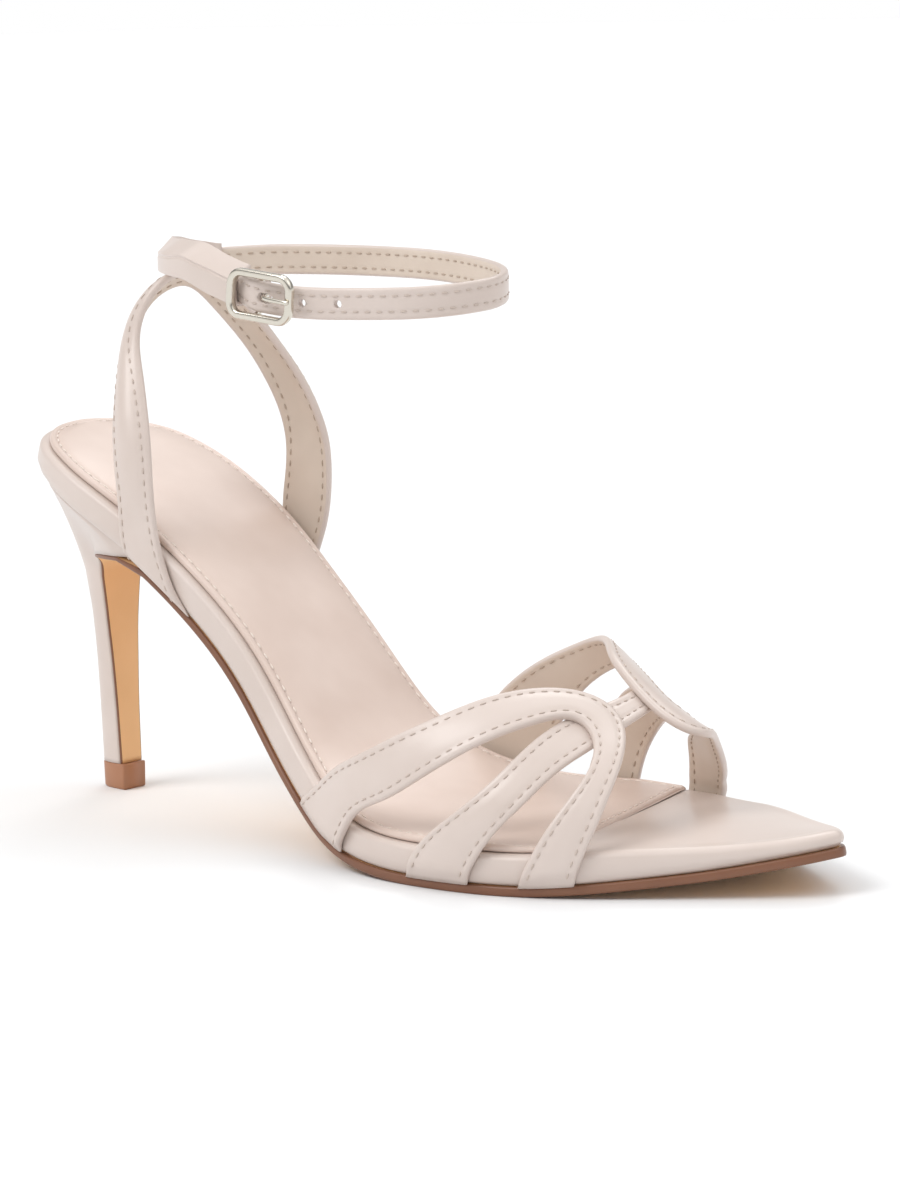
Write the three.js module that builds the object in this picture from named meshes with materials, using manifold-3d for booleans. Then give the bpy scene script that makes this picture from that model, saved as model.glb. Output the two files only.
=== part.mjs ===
// Strappy heeled sandal for the right foot, standing on its forefoot and heel tip.
// Millimetres. X runs from the heel to the toe, Y to the inner (medial) side, Z up from the floor.
import * as THREE from 'three';
import { mergeVertices } from 'three/addons/utils/BufferGeometryUtils.js';
import Module from 'manifold-3d';

// Sole sizes
const shoeReach = 225; // heel back to toe tip, measured along the floor
const heelRise = 78.6; // underside of the seat at its back, above the floor
const toeSpring = 8.1; // underside of the toe tip above the floor
const lateralBall = 42.5; // centre line to the outer edge at the ball
const medialBall = 40; // centre line to the inner edge at the ball
const outsoleThickness = 2;
const footbedThickness = 6.6; // leather-wrapped board, from the outsole to its top edge
const footbedToeThickness = 3.6;
const rimRound = 1.5; // rounding of the footbed's upper edge
const seatTuck = 5; // how far the footbed's lower edge draws in at the heel back
const waistTuck = 0.9; // the same along the sides
const insoleThickness = 1.5;
const insoleMargin = 2; // footbed edge to insole edge
const insoleRound = 1;
const insoleEndLateral = 179; // where the insole ends at its outer side
const insoleEndMedial = 158; // and at its inner side
const fitGap = 0.3; // clearance where two pieces meet

// Heel sizes
const heelSeatReach = 46; // heel back to the front edge of the heel seat
const neckHeight = 52; // where the heel starts to flare out to its seat
const heelTipBack = 11.2; // heel back to the back of the tip
const heelTipFront = 18.9; // and to its front
const heelTipWidth = 6.8;
const topPieceHeight = 6.2;
const breastCoverThickness = 1.2; // the outsole where it turns down the heel's front

// Strap sizes
const strapWall = 2; // folded upper leather
const innerStrapWall = 1.6; // the strap that runs under the two loops
const ridgeShift = 3; // how far the crest of the straps lies towards the inner side
const vampRise = 44; // sole underside to the inner face of the straps at the ball
const quarterBow = 3; // how far a heel strap's middle stands out of its edges behind the ankle

// Ankle strap sizes
const ankleHeight = 124; // floor to the middle of the ankle strap, on average
const ankleCentre = 89.4; // heel back to the middle of the ring
const ankleHalfLength = 45;
const ankleHalfWidth = 23.3;
const ankleStrapWidth = 7;
const ankleStrapThickness = 1.7;

// Side view of the sole's underside: shares of the shoe's reach, the heel's rise and the toe spring
const profileRows = [
  { along: 0, rise: 1, spring: 0 },
  { along: 0.095, rise: 0.908, spring: 0 },
  { along: 0.207, rise: 0.745, spring: 0 },
  { along: 0.323, rise: 0.499, spring: 0 },
  { along: 0.431, rise: 0.18, spring: 0 },
  { along: 0.538, rise: 0.03, spring: 0 },
  { along: 0.613, rise: 0, spring: 0 },
  { along: 0.747, rise: 0, spring: 0 },
  { along: 0.884, rise: 0, spring: 0.37 },
  { along: 1, rise: 0, spring: 1 },
];

// Plan view: half widths as shares of the two ball sizes
const outlineRows = [
  { along: 0, lateral: -0.03, medial: 0.03 },
  { along: 0.006, lateral: 0.165, medial: 0.225 },
  { along: 0.026, lateral: 0.355, medial: 0.425 },
  { along: 0.065, lateral: 0.515, medial: 0.59 },
  { along: 0.12, lateral: 0.598, medial: 0.635 },
  { along: 0.207, lateral: 0.58, medial: 0.595 },
  { along: 0.323, lateral: 0.57, medial: 0.475 },
  { along: 0.431, lateral: 0.7, medial: 0.475 },
  { along: 0.538, lateral: 0.93, medial: 0.675 },
  { along: 0.625, lateral: 1, medial: 0.885 },
  { along: 0.711, lateral: 0.97, medial: 1 },
  { along: 0.797, lateral: 0.8, medial: 0.93 },
  { along: 0.884, lateral: 0.5, medial: 0.69 },
  { along: 0.948, lateral: 0.25, medial: 0.42 },
  { along: 0.983, lateral: 0.09, medial: 0.26 },
  { along: 1, lateral: -0.09, medial: 0.095 },
];

// A smooth curve through one column of a table that never overshoots its rows
function monotone(rows, place, column) {
  const at = rows.map((row) => row[place]);
  const value = rows.map((row) => row[column]);
  const last = rows.length - 1;
  const chord = at.slice(1).map((end, i) => (value[i + 1] - value[i]) / (end - at[i]));
  const slope = at.map((_, i) => {
    if (i === 0 || i === last) return chord[Math.min(i, last - 1)];
    if (chord[i - 1] * chord[i] <= 0) return 0;
    const before = at[i] - at[i - 1];
    const after = at[i + 1] - at[i];
    const weight = (before + 2 * after) / chord[i - 1] + (2 * before + after) / chord[i];
    return (3 * (before + after)) / weight;
  });
  return (share) => {
    if (share <= at[0]) return value[0] + slope[0] * (share - at[0]);
    if (share >= at[last]) return value[last] + slope[last] * (share - at[last]);
    let i = 0;
    while (share > at[i + 1]) i += 1;
    const step = at[i + 1] - at[i];
    const t = (share - at[i]) / step;
    const rest = 1 - t;
    return (
      value[i] * (1 + 2 * t) * rest * rest +
      value[i + 1] * t * t * (3 - 2 * t) +
      step * t * rest * (slope[i] * rest - slope[i + 1] * t)
    );
  };
}

const riseShare = monotone(profileRows, 'along', 'rise');
const springShare = monotone(profileRows, 'along', 'spring');
const lateralShare = monotone(outlineRows, 'along', 'lateral');
const medialShare = monotone(outlineRows, 'along', 'medial');
const LATERAL = -1;
const MEDIAL = 1;

const smooth = (t) => {
  const u = Math.min(Math.max(t, 0), 1);
  return u * u * (3 - 2 * u);
};

// The underside's height in side view, and the point n above it, measured square to it
const soleHeight = (x) => heelRise * riseShare(x / shoeReach) + toeSpring * springShare(x / shoeReach);

function deckPoint(x, y, n) {
  const slope = soleHeight(x + 0.5) - soleHeight(x - 0.5);
  const length = Math.hypot(1, slope);
  return new THREE.Vector3(x - (n * slope) / length, y, soleHeight(x) + n / length);
}

// The station and height above the underside of a point beside the sole
function deckPlace(point) {
  let x = point.x;
  let n = 0;
  for (let pass = 0; pass < 4; pass += 1) {
    const slope = soleHeight(x + 0.5) - soleHeight(x - 0.5);
    const length = Math.hypot(1, slope);
    n = (point.z - soleHeight(x)) * length;
    x = point.x + (n * slope) / length;
    n = (point.z - soleHeight(x)) * Math.hypot(1, slope);
  }
  return { x, n };
}

// The footbed's edge in plan, drawn in by an inset square to the edge
function edgeY(x, side) {
  const share = x / shoeReach;
  return side === LATERAL ? -lateralBall * lateralShare(share) : medialBall * medialShare(share);
}

function edgePoint(x, side, inset) {
  if (x <= 0) return { x: inset, y: edgeY(0, side) };
  if (x >= shoeReach) return { x: shoeReach - inset, y: edgeY(shoeReach, side) };
  const step = Math.min(0.5, x, shoeReach - x);
  const slope = (edgeY(x + step, side) - edgeY(x - step, side)) / (2 * step);
  const length = Math.hypot(1, slope);
  return { x: x + (side * inset * slope) / length, y: edgeY(x, side) - (side * inset) / length };
}

const toeThinning = (x) => smooth((x / shoeReach - 0.82) / 0.18);
const footbedDepth = (x) => THREE.MathUtils.lerp(footbedThickness, footbedToeThickness, toeThinning(x));
const footbedBase = outsoleThickness + fitGap;
const footbedTop = (x) => footbedBase + footbedDepth(x);
const insoleTop = (x) => footbedTop(x) + fitGap + insoleThickness;
const lowerTuck = (x) => waistTuck + (seatTuck - waistTuck) * Math.exp(-x / (0.04 * shoeReach));

// The form under the forefoot straps: shares of the reach and of the straps' rise, and how flat its
// inner side falls, where 1 is an ellipse and 2 a straight slope
const lastRows = [
  { along: 0.44, rise: 1.54, fall: 0.9 },
  { along: 0.51, rise: 1.41, fall: 0.9 },
  { along: 0.58, rise: 1.25, fall: 0.95 },
  { along: 0.64, rise: 1.11, fall: 1 },
  { along: 0.71, rise: 0.94, fall: 1.45 },
  { along: 0.78, rise: 0.76, fall: 1.75 },
  { along: 0.845, rise: 0.59, fall: 1.6 },
  { along: 0.91, rise: 0.46, fall: 1.3 },
];
const lastRise = monotone(lastRows, 'along', 'rise');
const lastFall = monotone(lastRows, 'along', 'fall');
const footUpright = 0.05; // share of a strap's way round the foot that stands beside the footbed
const outerFall = 0.86; // the same for its outer side, a little squarer than an ellipse

// A point on the inner face of a strap: turn runs from 0 at the outer edge of the sole to 1 at the inner
function lastBase(x, turn) {
  const side = turn < 0.5 ? LATERAL : MEDIAL;
  const reach = Math.abs(edgeY(x, side)) + fitGap;
  const low = Math.min(turn, 1 - turn);
  const bend = footbedTop(x);
  if (low < footUpright) {
    const n = THREE.MathUtils.lerp(outsoleThickness, bend, low / footUpright);
    return deckPoint(x, side * reach, n);
  }
  const angle = (Math.PI * (turn - footUpright)) / (1 - 2 * footUpright);
  const fall = THREE.MathUtils.lerp(outerFall, lastFall(x / shoeReach), smooth((turn - 0.3) / 0.5));
  const across = Math.abs(Math.cos(angle)) ** fall;
  const up = Math.sin(angle) ** fall;
  const y = side * reach * across + ridgeShift * Math.sin(angle) ** 2;
  const top = vampRise * lastRise(x / shoeReach);
  return deckPoint(x, y, bend + (top - bend) * up);
}

function lastNormal(x, turn) {
  const step = 0.004;
  const low = Math.max(turn - step, 0);
  const high = Math.min(turn + step, 1);
  const around = lastBase(x, high).sub(lastBase(x, low));
  const along = lastBase(x + 0.5, turn).sub(lastBase(x - 0.5, turn));
  return around.cross(along).negate().normalize();
}

const lastPoint = (x, turn, offset) => lastBase(x, turn).addScaledVector(lastNormal(x, turn), offset);

// A closed surface through rings of equal length. With singlePoint a ring starts at one end of its shape
function skin(rings, singlePoint) {
  const size = rings[0].length;
  const index = [];
  for (let r = 0; r < rings.length - 1; r += 1) {
    for (let i = 0; i < size; i += 1) {
      const a = r * size + i;
      const b = r * size + ((i + 1) % size);
      index.push(a, b, b + size, a, b + size, a + size);
    }
  }
  const cap = (base, turnedOver) => {
    const face = (a, b, c) => {
      const corners = [base + a, base + b, base + c];
      index.push(...(turnedOver ? corners.reverse() : corners));
    };
    let low = 0;
    let high = size - 1;
    if (singlePoint) {
      face(0, 1, high);
      low = 1;
    }
    while (high - low > 1) {
      face(low, low + 1, high);
      if (high - low > 2) face(low + 1, high - 1, high);
      low += 1;
      high -= 1;
    }
  };
  cap(0, true);
  cap((rings.length - 1) * size, false);
  const points = rings.flat();
  const geometry = new THREE.BufferGeometry();
  const position = points.flatMap((p) => [p.x, p.y, p.z]);
  geometry.setAttribute('position', new THREE.Float32BufferAttribute(position, 3));
  let volume = 0;
  for (let i = 0; i < index.length; i += 3) {
    const [a, b, c] = [points[index[i]], points[index[i + 1]], points[index[i + 2]]];
    volume += a.dot(b.clone().cross(c));
  }
  if (volume < 0) index.reverse();
  geometry.setIndex(index);
  return geometry;
}

const wasm = await Module();
wasm.setup();

function toSolid(geometry) {
  const plain = geometry.clone();
  plain.deleteAttribute('normal');
  plain.deleteAttribute('uv');
  const merged = mergeVertices(plain, 1e-5);
  const index = merged.index.array;
  const kept = [];
  for (let i = 0; i < index.length; i += 3) {
    const [a, b, c] = [index[i], index[i + 1], index[i + 2]];
    if (a !== b && b !== c && c !== a) kept.push(a, b, c);
  }
  const vertProperties = new Float32Array(merged.attributes.position.array);
  const triVerts = new Uint32Array(kept);
  return new wasm.Manifold(new wasm.Mesh({ numProp: 3, vertProperties, triVerts }));
}

function toGeometry(solid) {
  const mesh = solid.getMesh();
  const geometry = new THREE.BufferGeometry();
  geometry.setAttribute('position', new THREE.BufferAttribute(mesh.vertProperties, 3));
  geometry.setIndex(new THREE.BufferAttribute(mesh.triVerts, 1));
  return geometry;
}

function span(from, to, count) {
  return Array.from({ length: count + 1 }, (_, i) => from + ((to - from) * i) / count);
}

// Stations along the sole, closer together at its two ends
const soleStations = 44;
const stations = span(0, Math.PI, soleStations).map((angle) => (shoeReach * (1 - Math.cos(angle))) / 2);

// One closed line round the sole: heel back, inner side, toe tip, outer side
function soleRing(insetAt, heightAt) {
  const place = (x, side) => {
    const edge = edgePoint(x, side, insetAt(x));
    return deckPoint(edge.x, edge.y, heightAt(x));
  };
  const inner = stations.map((x) => place(x, MEDIAL));
  const outer = stations.slice(1, -1).map((x) => place(x, LATERAL));
  return [...inner, ...outer.reverse()];
}

// Footbed: the leather-wrapped platform whose edge shows all round
function footbed() {
  const corner = 0.7;
  const rings = [
    soleRing((x) => lowerTuck(x) + corner, () => footbedBase),
    soleRing((x) => lowerTuck(x), () => footbedBase + corner),
    soleRing(() => 0, (x) => footbedBase + footbedDepth(x) * 0.55),
    soleRing(() => 0, (x) => footbedTop(x) - rimRound),
    soleRing(() => rimRound * 0.3, (x) => footbedTop(x) - rimRound * 0.3),
    soleRing(() => rimRound, (x) => footbedTop(x)),
  ];
  return skin(rings, true);
}

// Insole: the padded sock, ending in a slanted front edge behind the toe
function insole() {
  const base = (x) => footbedTop(x) + fitGap;
  const rings = [
    soleRing(() => insoleMargin + insoleRound * 0.5, base),
    soleRing(() => insoleMargin, (x) => base(x) + insoleThickness * 0.4),
    soleRing(() => insoleMargin + insoleRound * 0.4, (x) => base(x) + insoleThickness * 0.85),
    soleRing(() => insoleMargin + insoleRound * 1.6, (x) => base(x) + insoleThickness),
  ];
  const beyond = 2 * shoeReach;
  const cut = new THREE.Shape();
  cut.moveTo(insoleEndLateral, -lateralBall);
  cut.lineTo(insoleEndMedial, medialBall);
  cut.lineTo(insoleEndMedial, beyond);
  cut.lineTo(beyond, beyond);
  cut.lineTo(beyond, -beyond);
  cut.lineTo(insoleEndLateral, -beyond);
  const cutter = new THREE.ExtrudeGeometry(cut, { depth: 2 * heelRise, bevelEnabled: false });
  cutter.translate(0, 0, -heelRise);
  return toGeometry(toSolid(skin(rings, true)).subtract(toSolid(cutter)));
}

// Heel sections: height as a share of the neck's, the other columns as shares of the tip's sizes
const heelRows = [
  { up: 0, back: 1, front: 1, width: 1 },
  { up: 0.3, back: 0.973, front: 0.979, width: 1.09 },
  { up: 0.55, back: 0.955, front: 0.963, width: 1.26 },
  { up: 0.78, back: 0.911, front: 0.947, width: 1.5 },
  { up: 1, back: 0.795, front: 0.947, width: 1.85 },
];
const heelBack = monotone(heelRows, 'up', 'back');
const heelFront = monotone(heelRows, 'up', 'front');
const heelWidth = monotone(heelRows, 'up', 'width');
const heelSquareness = 0.85;
const heelBaseHeight = topPieceHeight + fitGap;
const heelArc = span(0, Math.PI, 20);

function heelSection(share) {
  const z = THREE.MathUtils.lerp(heelBaseHeight, neckHeight, share);
  const front = heelTipFront * heelFront(share);
  const length = front - heelTipBack * heelBack(share);
  const half = (heelTipWidth / 2) * heelWidth(share);
  return heelArc.map((angle) => {
    const across = -Math.sign(Math.cos(angle)) * Math.abs(Math.cos(angle)) ** heelSquareness;
    return new THREE.Vector3(front - length * Math.sin(angle) ** heelSquareness, half * across, z);
  });
}

// The heel's top edge under the footbed, and how each part of it flares out of the neck
function heelSeat() {
  return heelArc.map((angle) => {
    const side = angle < Math.PI / 2 ? LATERAL : MEDIAL;
    const x = heelSeatReach * (1 - Math.sin(angle));
    const edge = edgePoint(x, side, lowerTuck(x) + 0.2);
    return deckPoint(edge.x, edge.y, outsoleThickness);
  });
}

function heelFlare(share) {
  const neck = heelSection(1);
  return heelSeat().map((seat, i) => {
    const back = Math.sin(heelArc[i]);
    const across = share ** THREE.MathUtils.lerp(3.6, 0.9, back);
    const point = neck[i].clone().lerp(seat, across);
    point.z = THREE.MathUtils.lerp(neck[i].z, seat.z, share);
    return point;
  });
}
const flareShares = [0.2, 0.4, 0.58, 0.72, 0.84, 0.93, 1];
const shankShares = [0, 0.15, 0.3, 0.45, 0.6, 0.75, 0.88, 1];

function heel() {
  return skin([...shankShares.map(heelSection), ...flareShares.map(heelFlare)], false);
}

// Outsole: under the footbed from toe to heel seat, then turned down over the front of the heel
function outsoleLine() {
  const line = [];
  for (const x of stations.filter((at) => at > heelSeatReach + 3).reverse()) {
    const inset = lowerTuck(x) - 0.3;
    const inner = edgePoint(x, MEDIAL, inset);
    const outer = edgePoint(x, LATERAL, inset);
    const across = (n) => [deckPoint(outer.x, outer.y, n), deckPoint(inner.x, inner.y, n)];
    line.push({ top: across(outsoleThickness), bottom: across(0) });
  }
  const fronts = [...shankShares.map(heelSection), ...flareShares.slice(0, -1).map(heelFlare)]
    .reverse()
    .map((ring) => [ring[0], ring[ring.length - 1]]);
  fronts.forEach(([outer, inner], i) => {
    const before = fronts[Math.max(i - 1, 0)][0];
    const after = fronts[Math.min(i + 1, fronts.length - 1)][0];
    const run = after.clone().sub(before).setY(0).normalize();
    const away = new THREE.Vector3(-run.z, 0, run.x);
    const share = smooth(i / 5);
    const thickness = THREE.MathUtils.lerp(outsoleThickness, breastCoverThickness, share);
    const gap = (p) => p.clone().addScaledVector(away, fitGap);
    const face = (p) => p.clone().addScaledVector(away, fitGap + thickness);
    line.push({ top: [gap(outer), gap(inner)], bottom: [face(outer), face(inner)] });
  });
  return line;
}

function outsole() {
  const rings = outsoleLine().map(({ top, bottom }) => [top[0], top[1], bottom[1], bottom[0]]);
  return skin(rings, false);
}

// Top piece: the hard-wearing tip under the heel and its cover
function topPiece() {
  const reach = breastCoverThickness + fitGap;
  const ring = (z, grow) => heelSection(0).map((p) => {
    const forward = reach * smooth((p.x - heelTipBack) / (heelTipFront - heelTipBack));
    return new THREE.Vector3(p.x + forward, p.y * (1 + grow), z);
  });
  return skin([ring(0, 0), ring(topPieceHeight, 0.03)], false);
}

// Edge rows of the forefoot straps: shares of the shoe's reach, and turns round the foot from its outer
// sole edge to its inner one
const nearLoopRows = [
  { outer: 0.476, outerTurn: 0, inner: 0.547, innerTurn: 0 },
  { outer: 0.511, outerTurn: 0.075, inner: 0.578, innerTurn: 0.045 },
  { outer: 0.578, outerTurn: 0.148, inner: 0.622, innerTurn: 0.1 },
  { outer: 0.631, outerTurn: 0.205, inner: 0.667, innerTurn: 0.155 },
  { outer: 0.667, outerTurn: 0.262, inner: 0.7, innerTurn: 0.215 },
  { outer: 0.693, outerTurn: 0.325, inner: 0.724, innerTurn: 0.27 },
  { outer: 0.716, outerTurn: 0.378, inner: 0.742, innerTurn: 0.32 },
  { outer: 0.738, outerTurn: 0.415, inner: 0.753, innerTurn: 0.353 },
  { outer: 0.762, outerTurn: 0.428, inner: 0.767, innerTurn: 0.362 },
  { outer: 0.791, outerTurn: 0.412, inner: 0.787, innerTurn: 0.345 },
  { outer: 0.816, outerTurn: 0.365, inner: 0.804, innerTurn: 0.3 },
  { outer: 0.831, outerTurn: 0.3, inner: 0.81, innerTurn: 0.25 },
  { outer: 0.836, outerTurn: 0.22, inner: 0.807, innerTurn: 0.195 },
  { outer: 0.835, outerTurn: 0.13, inner: 0.795, innerTurn: 0.12 },
  { outer: 0.824, outerTurn: 0.055, inner: 0.778, innerTurn: 0.055 },
  { outer: 0.809, outerTurn: 0, inner: 0.76, innerTurn: 0 },
];

const farLoopRows = [
  { outer: 0.453, outerTurn: 1, inner: 0.529, innerTurn: 1 },
  { outer: 0.462, outerTurn: 0.93, inner: 0.542, innerTurn: 0.93 },
  { outer: 0.473, outerTurn: 0.88, inner: 0.564, innerTurn: 0.865 },
  { outer: 0.502, outerTurn: 0.83, inner: 0.591, innerTurn: 0.81 },
  { outer: 0.547, outerTurn: 0.782, inner: 0.618, innerTurn: 0.775 },
  { outer: 0.596, outerTurn: 0.725, inner: 0.644, innerTurn: 0.735 },
  { outer: 0.64, outerTurn: 0.662, inner: 0.673, innerTurn: 0.695 },
  { outer: 0.68, outerTurn: 0.595, inner: 0.702, innerTurn: 0.66 },
  { outer: 0.711, outerTurn: 0.545, inner: 0.729, innerTurn: 0.635 },
  { outer: 0.747, outerTurn: 0.513, inner: 0.753, innerTurn: 0.618 },
  { outer: 0.782, outerTurn: 0.497, inner: 0.773, innerTurn: 0.615 },
  { outer: 0.818, outerTurn: 0.48, inner: 0.787, innerTurn: 0.625 },
  { outer: 0.842, outerTurn: 0.5, inner: 0.791, innerTurn: 0.65 },
  { outer: 0.844, outerTurn: 0.56, inner: 0.782, innerTurn: 0.68 },
  { outer: 0.831, outerTurn: 0.625, inner: 0.764, innerTurn: 0.715 },
  { outer: 0.809, outerTurn: 0.7, inner: 0.74, innerTurn: 0.75 },
  { outer: 0.784, outerTurn: 0.775, inner: 0.718, innerTurn: 0.79 },
  { outer: 0.76, outerTurn: 0.85, inner: 0.707, innerTurn: 0.845 },
  { outer: 0.742, outerTurn: 0.92, inner: 0.698, innerTurn: 0.92 },
  { outer: 0.736, outerTurn: 1, inner: 0.691, innerTurn: 1 },
];

const crossRows = [
  { outer: 0.64, outerTurn: 0, inner: 0.711, innerTurn: 0 },
  { outer: 0.658, outerTurn: 0.05, inner: 0.724, innerTurn: 0.04 },
  { outer: 0.693, outerTurn: 0.092, inner: 0.749, innerTurn: 0.1 },
  { outer: 0.727, outerTurn: 0.165, inner: 0.769, innerTurn: 0.157 },
  { outer: 0.742, outerTurn: 0.25, inner: 0.784, innerTurn: 0.245 },
  { outer: 0.749, outerTurn: 0.33, inner: 0.795, innerTurn: 0.32 },
  { outer: 0.756, outerTurn: 0.41, inner: 0.795, innerTurn: 0.4 },
  { outer: 0.756, outerTurn: 0.49, inner: 0.788, innerTurn: 0.485 },
  { outer: 0.742, outerTurn: 0.57, inner: 0.776, innerTurn: 0.57 },
  { outer: 0.716, outerTurn: 0.65, inner: 0.753, innerTurn: 0.655 },
  { outer: 0.676, outerTurn: 0.725, inner: 0.72, innerTurn: 0.73 },
  { outer: 0.64, outerTurn: 0.785, inner: 0.689, innerTurn: 0.79 },
  { outer: 0.613, outerTurn: 0.85, inner: 0.664, innerTurn: 0.855 },
  { outer: 0.593, outerTurn: 0.92, inner: 0.647, innerTurn: 0.92 },
  { outer: 0.582, outerTurn: 1, inner: 0.638, innerTurn: 1 },
];

const strapSplits = [0, 1 / 3, 2 / 3, 1]; // places across a strap's width

// A strap between two edges: face(step, across, offset) gives a point of it
function strap(steps, face, wall) {
  const rings = span(0, 1, steps).map((step) => [
    ...strapSplits.map((across) => face(step, across, wall)),
    ...strapSplits.map((across) => face(step, across, 0)).reverse(),
  ]);
  return skin(rings, false);
}

// A strap that lies on the foot's form; lift raises its middle over the strap below
function vampStrap(rows, steps, wall, lift) {
  const outer = new THREE.SplineCurve(rows.map((row) => new THREE.Vector2(row.outer, row.outerTurn)));
  const inner = new THREE.SplineCurve(rows.map((row) => new THREE.Vector2(row.inner, row.innerTurn)));
  const face = (step, across, offset) => {
    const place = outer.getPoint(step).lerp(inner.getPoint(step), across);
    const turn = THREE.MathUtils.clamp(place.y, 0, 1);
    const raised = lift * smooth((Math.min(turn, 1 - turn) - 0.1) / 0.18);
    return lastPoint(place.x * shoeReach, turn, offset + raised);
  };
  return toSolid(strap(steps, face, wall));
}

function vampStraps() {
  const overlap = 0.2;
  const lift = innerStrapWall - overlap;
  const near = vampStrap(nearLoopRows, 40, strapWall, lift);
  const far = vampStrap(farLoopRows, 44, strapWall, lift);
  const cross = vampStrap(crossRows, 30, innerStrapWall, 0);
  return toGeometry(near.add(far).add(cross));
}

// The ankle ring: angle 0 is at the front, 90 at the inner side, 180 at the back, 270 at the outer side.
// Its height there is a share of the ankle's
const ringRows = [
  { angle: 0, height: 0.985 },
  { angle: 45, height: 1.002 },
  { angle: 90, height: 1.016 },
  { angle: 135, height: 1.019 },
  { angle: 160, height: 1.016 },
  { angle: 180, height: 1.028 },
  { angle: 205, height: 1.038 },
  { angle: 240, height: 1.038 },
  { angle: 256, height: 1.016 },
  { angle: 268, height: 0.995 },
  { angle: 277, height: 0.982 },
  { angle: 286, height: 0.9755 },
  { angle: 296, height: 0.9735 },
  { angle: 315, height: 0.974 },
  { angle: 360, height: 0.985 },
];
const ringHeight = monotone(ringRows, 'angle', 'height');
const radians = THREE.MathUtils.degToRad;

function ringPoint(angle, out, up) {
  const c = Math.cos(radians(angle));
  const s = Math.sin(radians(angle));
  const outward = new THREE.Vector2(c / ankleHalfLength, s / ankleHalfWidth).normalize();
  const x = ankleHalfLength * c + out * outward.x;
  const y = ankleHalfWidth * s + out * outward.y;
  const z = ankleHeight * ringHeight(THREE.MathUtils.euclideanModulo(angle, 360)) + up;
  return new THREE.Vector3(ankleCentre + x, y, z);
}

// Sleeve sizes
const sleeveWall = 1;
const sleeveRoom = 0.4; // clearance of the ankle strap inside it
const sleeveFarEnd = 160; // ring angles of its two mouths
const sleeveNearEnd = 265.6;
const channelHalfHeight = ankleStrapWidth / 2 + sleeveRoom;
const sleeveHalfHeight = channelHalfHeight + sleeveWall;
const singleLayer = ankleStrapThickness + sleeveRoom;
const doubleLayer = 2 * ankleStrapThickness + fitGap + sleeveRoom;
const layersMeet = 205; // ring angle where the second layer of strap begins to part the sleeve
function sleeveLayers(angle) {
  return THREE.MathUtils.lerp(singleLayer, doubleLayer, smooth((angle - layersMeet) / 30));
}
const sleeveOuter = (angle) => sleeveLayers(angle) + sleeveWall;

// A box section swept round part of the ring
function ringBand(from, to, steps, innerAt, outerAt, halfHeight) {
  const rings = span(from, to, steps).map((angle) => [
    ringPoint(angle, innerAt(angle), -halfHeight),
    ringPoint(angle, outerAt(angle), -halfHeight),
    ringPoint(angle, outerAt(angle), halfHeight),
    ringPoint(angle, innerAt(angle), halfHeight),
  ]);
  return skin(rings, false);
}

// Heel straps from the rim of the footbed up: places along the sole as shares of its reach, outwards as
// shares of the seat's half width there, upwards as shares of the ankle's height, and of the bow
const outerQuarterRows = [
  { rear: 0.202, rearOut: 1, rearUp: 0.565, front: 0.267, frontOut: 1, frontUp: 0.468, bow: 0 },
  { rear: 0.2, rearOut: 1.002, rearUp: 0.621, front: 0.251, frontOut: 1.002, frontUp: 0.597, bow: 0.1 },
  { rear: 0.184, rearOut: 0.87, rearUp: 0.718, front: 0.229, frontOut: 0.87, frontUp: 0.702, bow: 0.5 },
  { rear: 0.169, rearOut: 0.601, rearUp: 0.819, front: 0.202, frontOut: 0.681, frontUp: 0.823, bow: 0.9 },
  { rear: 0.162, rearOut: 0.361, rearUp: 0.895, front: 0.187, frontOut: 0.553, frontUp: 0.895, bow: 1 },
  { rear: 0.173, rearOut: 0.265, rearUp: 0.952, front: 0.196, frontOut: 0.441, frontUp: 0.962, bow: 0.8 },
];

const innerQuarterRows = [
  { rear: 0.216, rearOut: 1, rearUp: 0.548, front: 0.278, frontOut: 1, frontUp: 0.516, bow: 0 },
  { rear: 0.22, rearOut: 1, rearUp: 0.621, front: 0.286, frontOut: 1, frontUp: 0.613, bow: 0.1 },
  { rear: 0.219, rearOut: 0.934, rearUp: 0.726, front: 0.271, frontOut: 0.942, frontUp: 0.71, bow: 0.5 },
  { rear: 0.208, rearOut: 0.83, rearUp: 0.79, front: 0.257, frontOut: 0.83, frontUp: 0.802, bow: 0.7 },
  { rear: 0.2, rearOut: 0.651, rearUp: 0.857, front: 0.24, frontOut: 0.705, frontUp: 0.855, bow: 0.8 },
  { rear: 0.19, rearOut: 0.349, rearUp: 0.931, front: 0.227, frontOut: 0.519, frontUp: 0.923, bow: 0.8 },
];

const outerQuarter = {
  side: LATERAL,
  foot: { rear: 46, front: 66 },
  rim: { rear: 41.5, front: 58 },
  rows: outerQuarterRows,
  top: { rear: 177, front: 210 },
};
const innerQuarter = {
  side: MEDIAL,
  foot: { rear: 47, front: 60 },
  rim: { rear: 48, front: 61.5 },
  rows: innerQuarterRows,
  top: { rear: 183, front: 163 },
};

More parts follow.
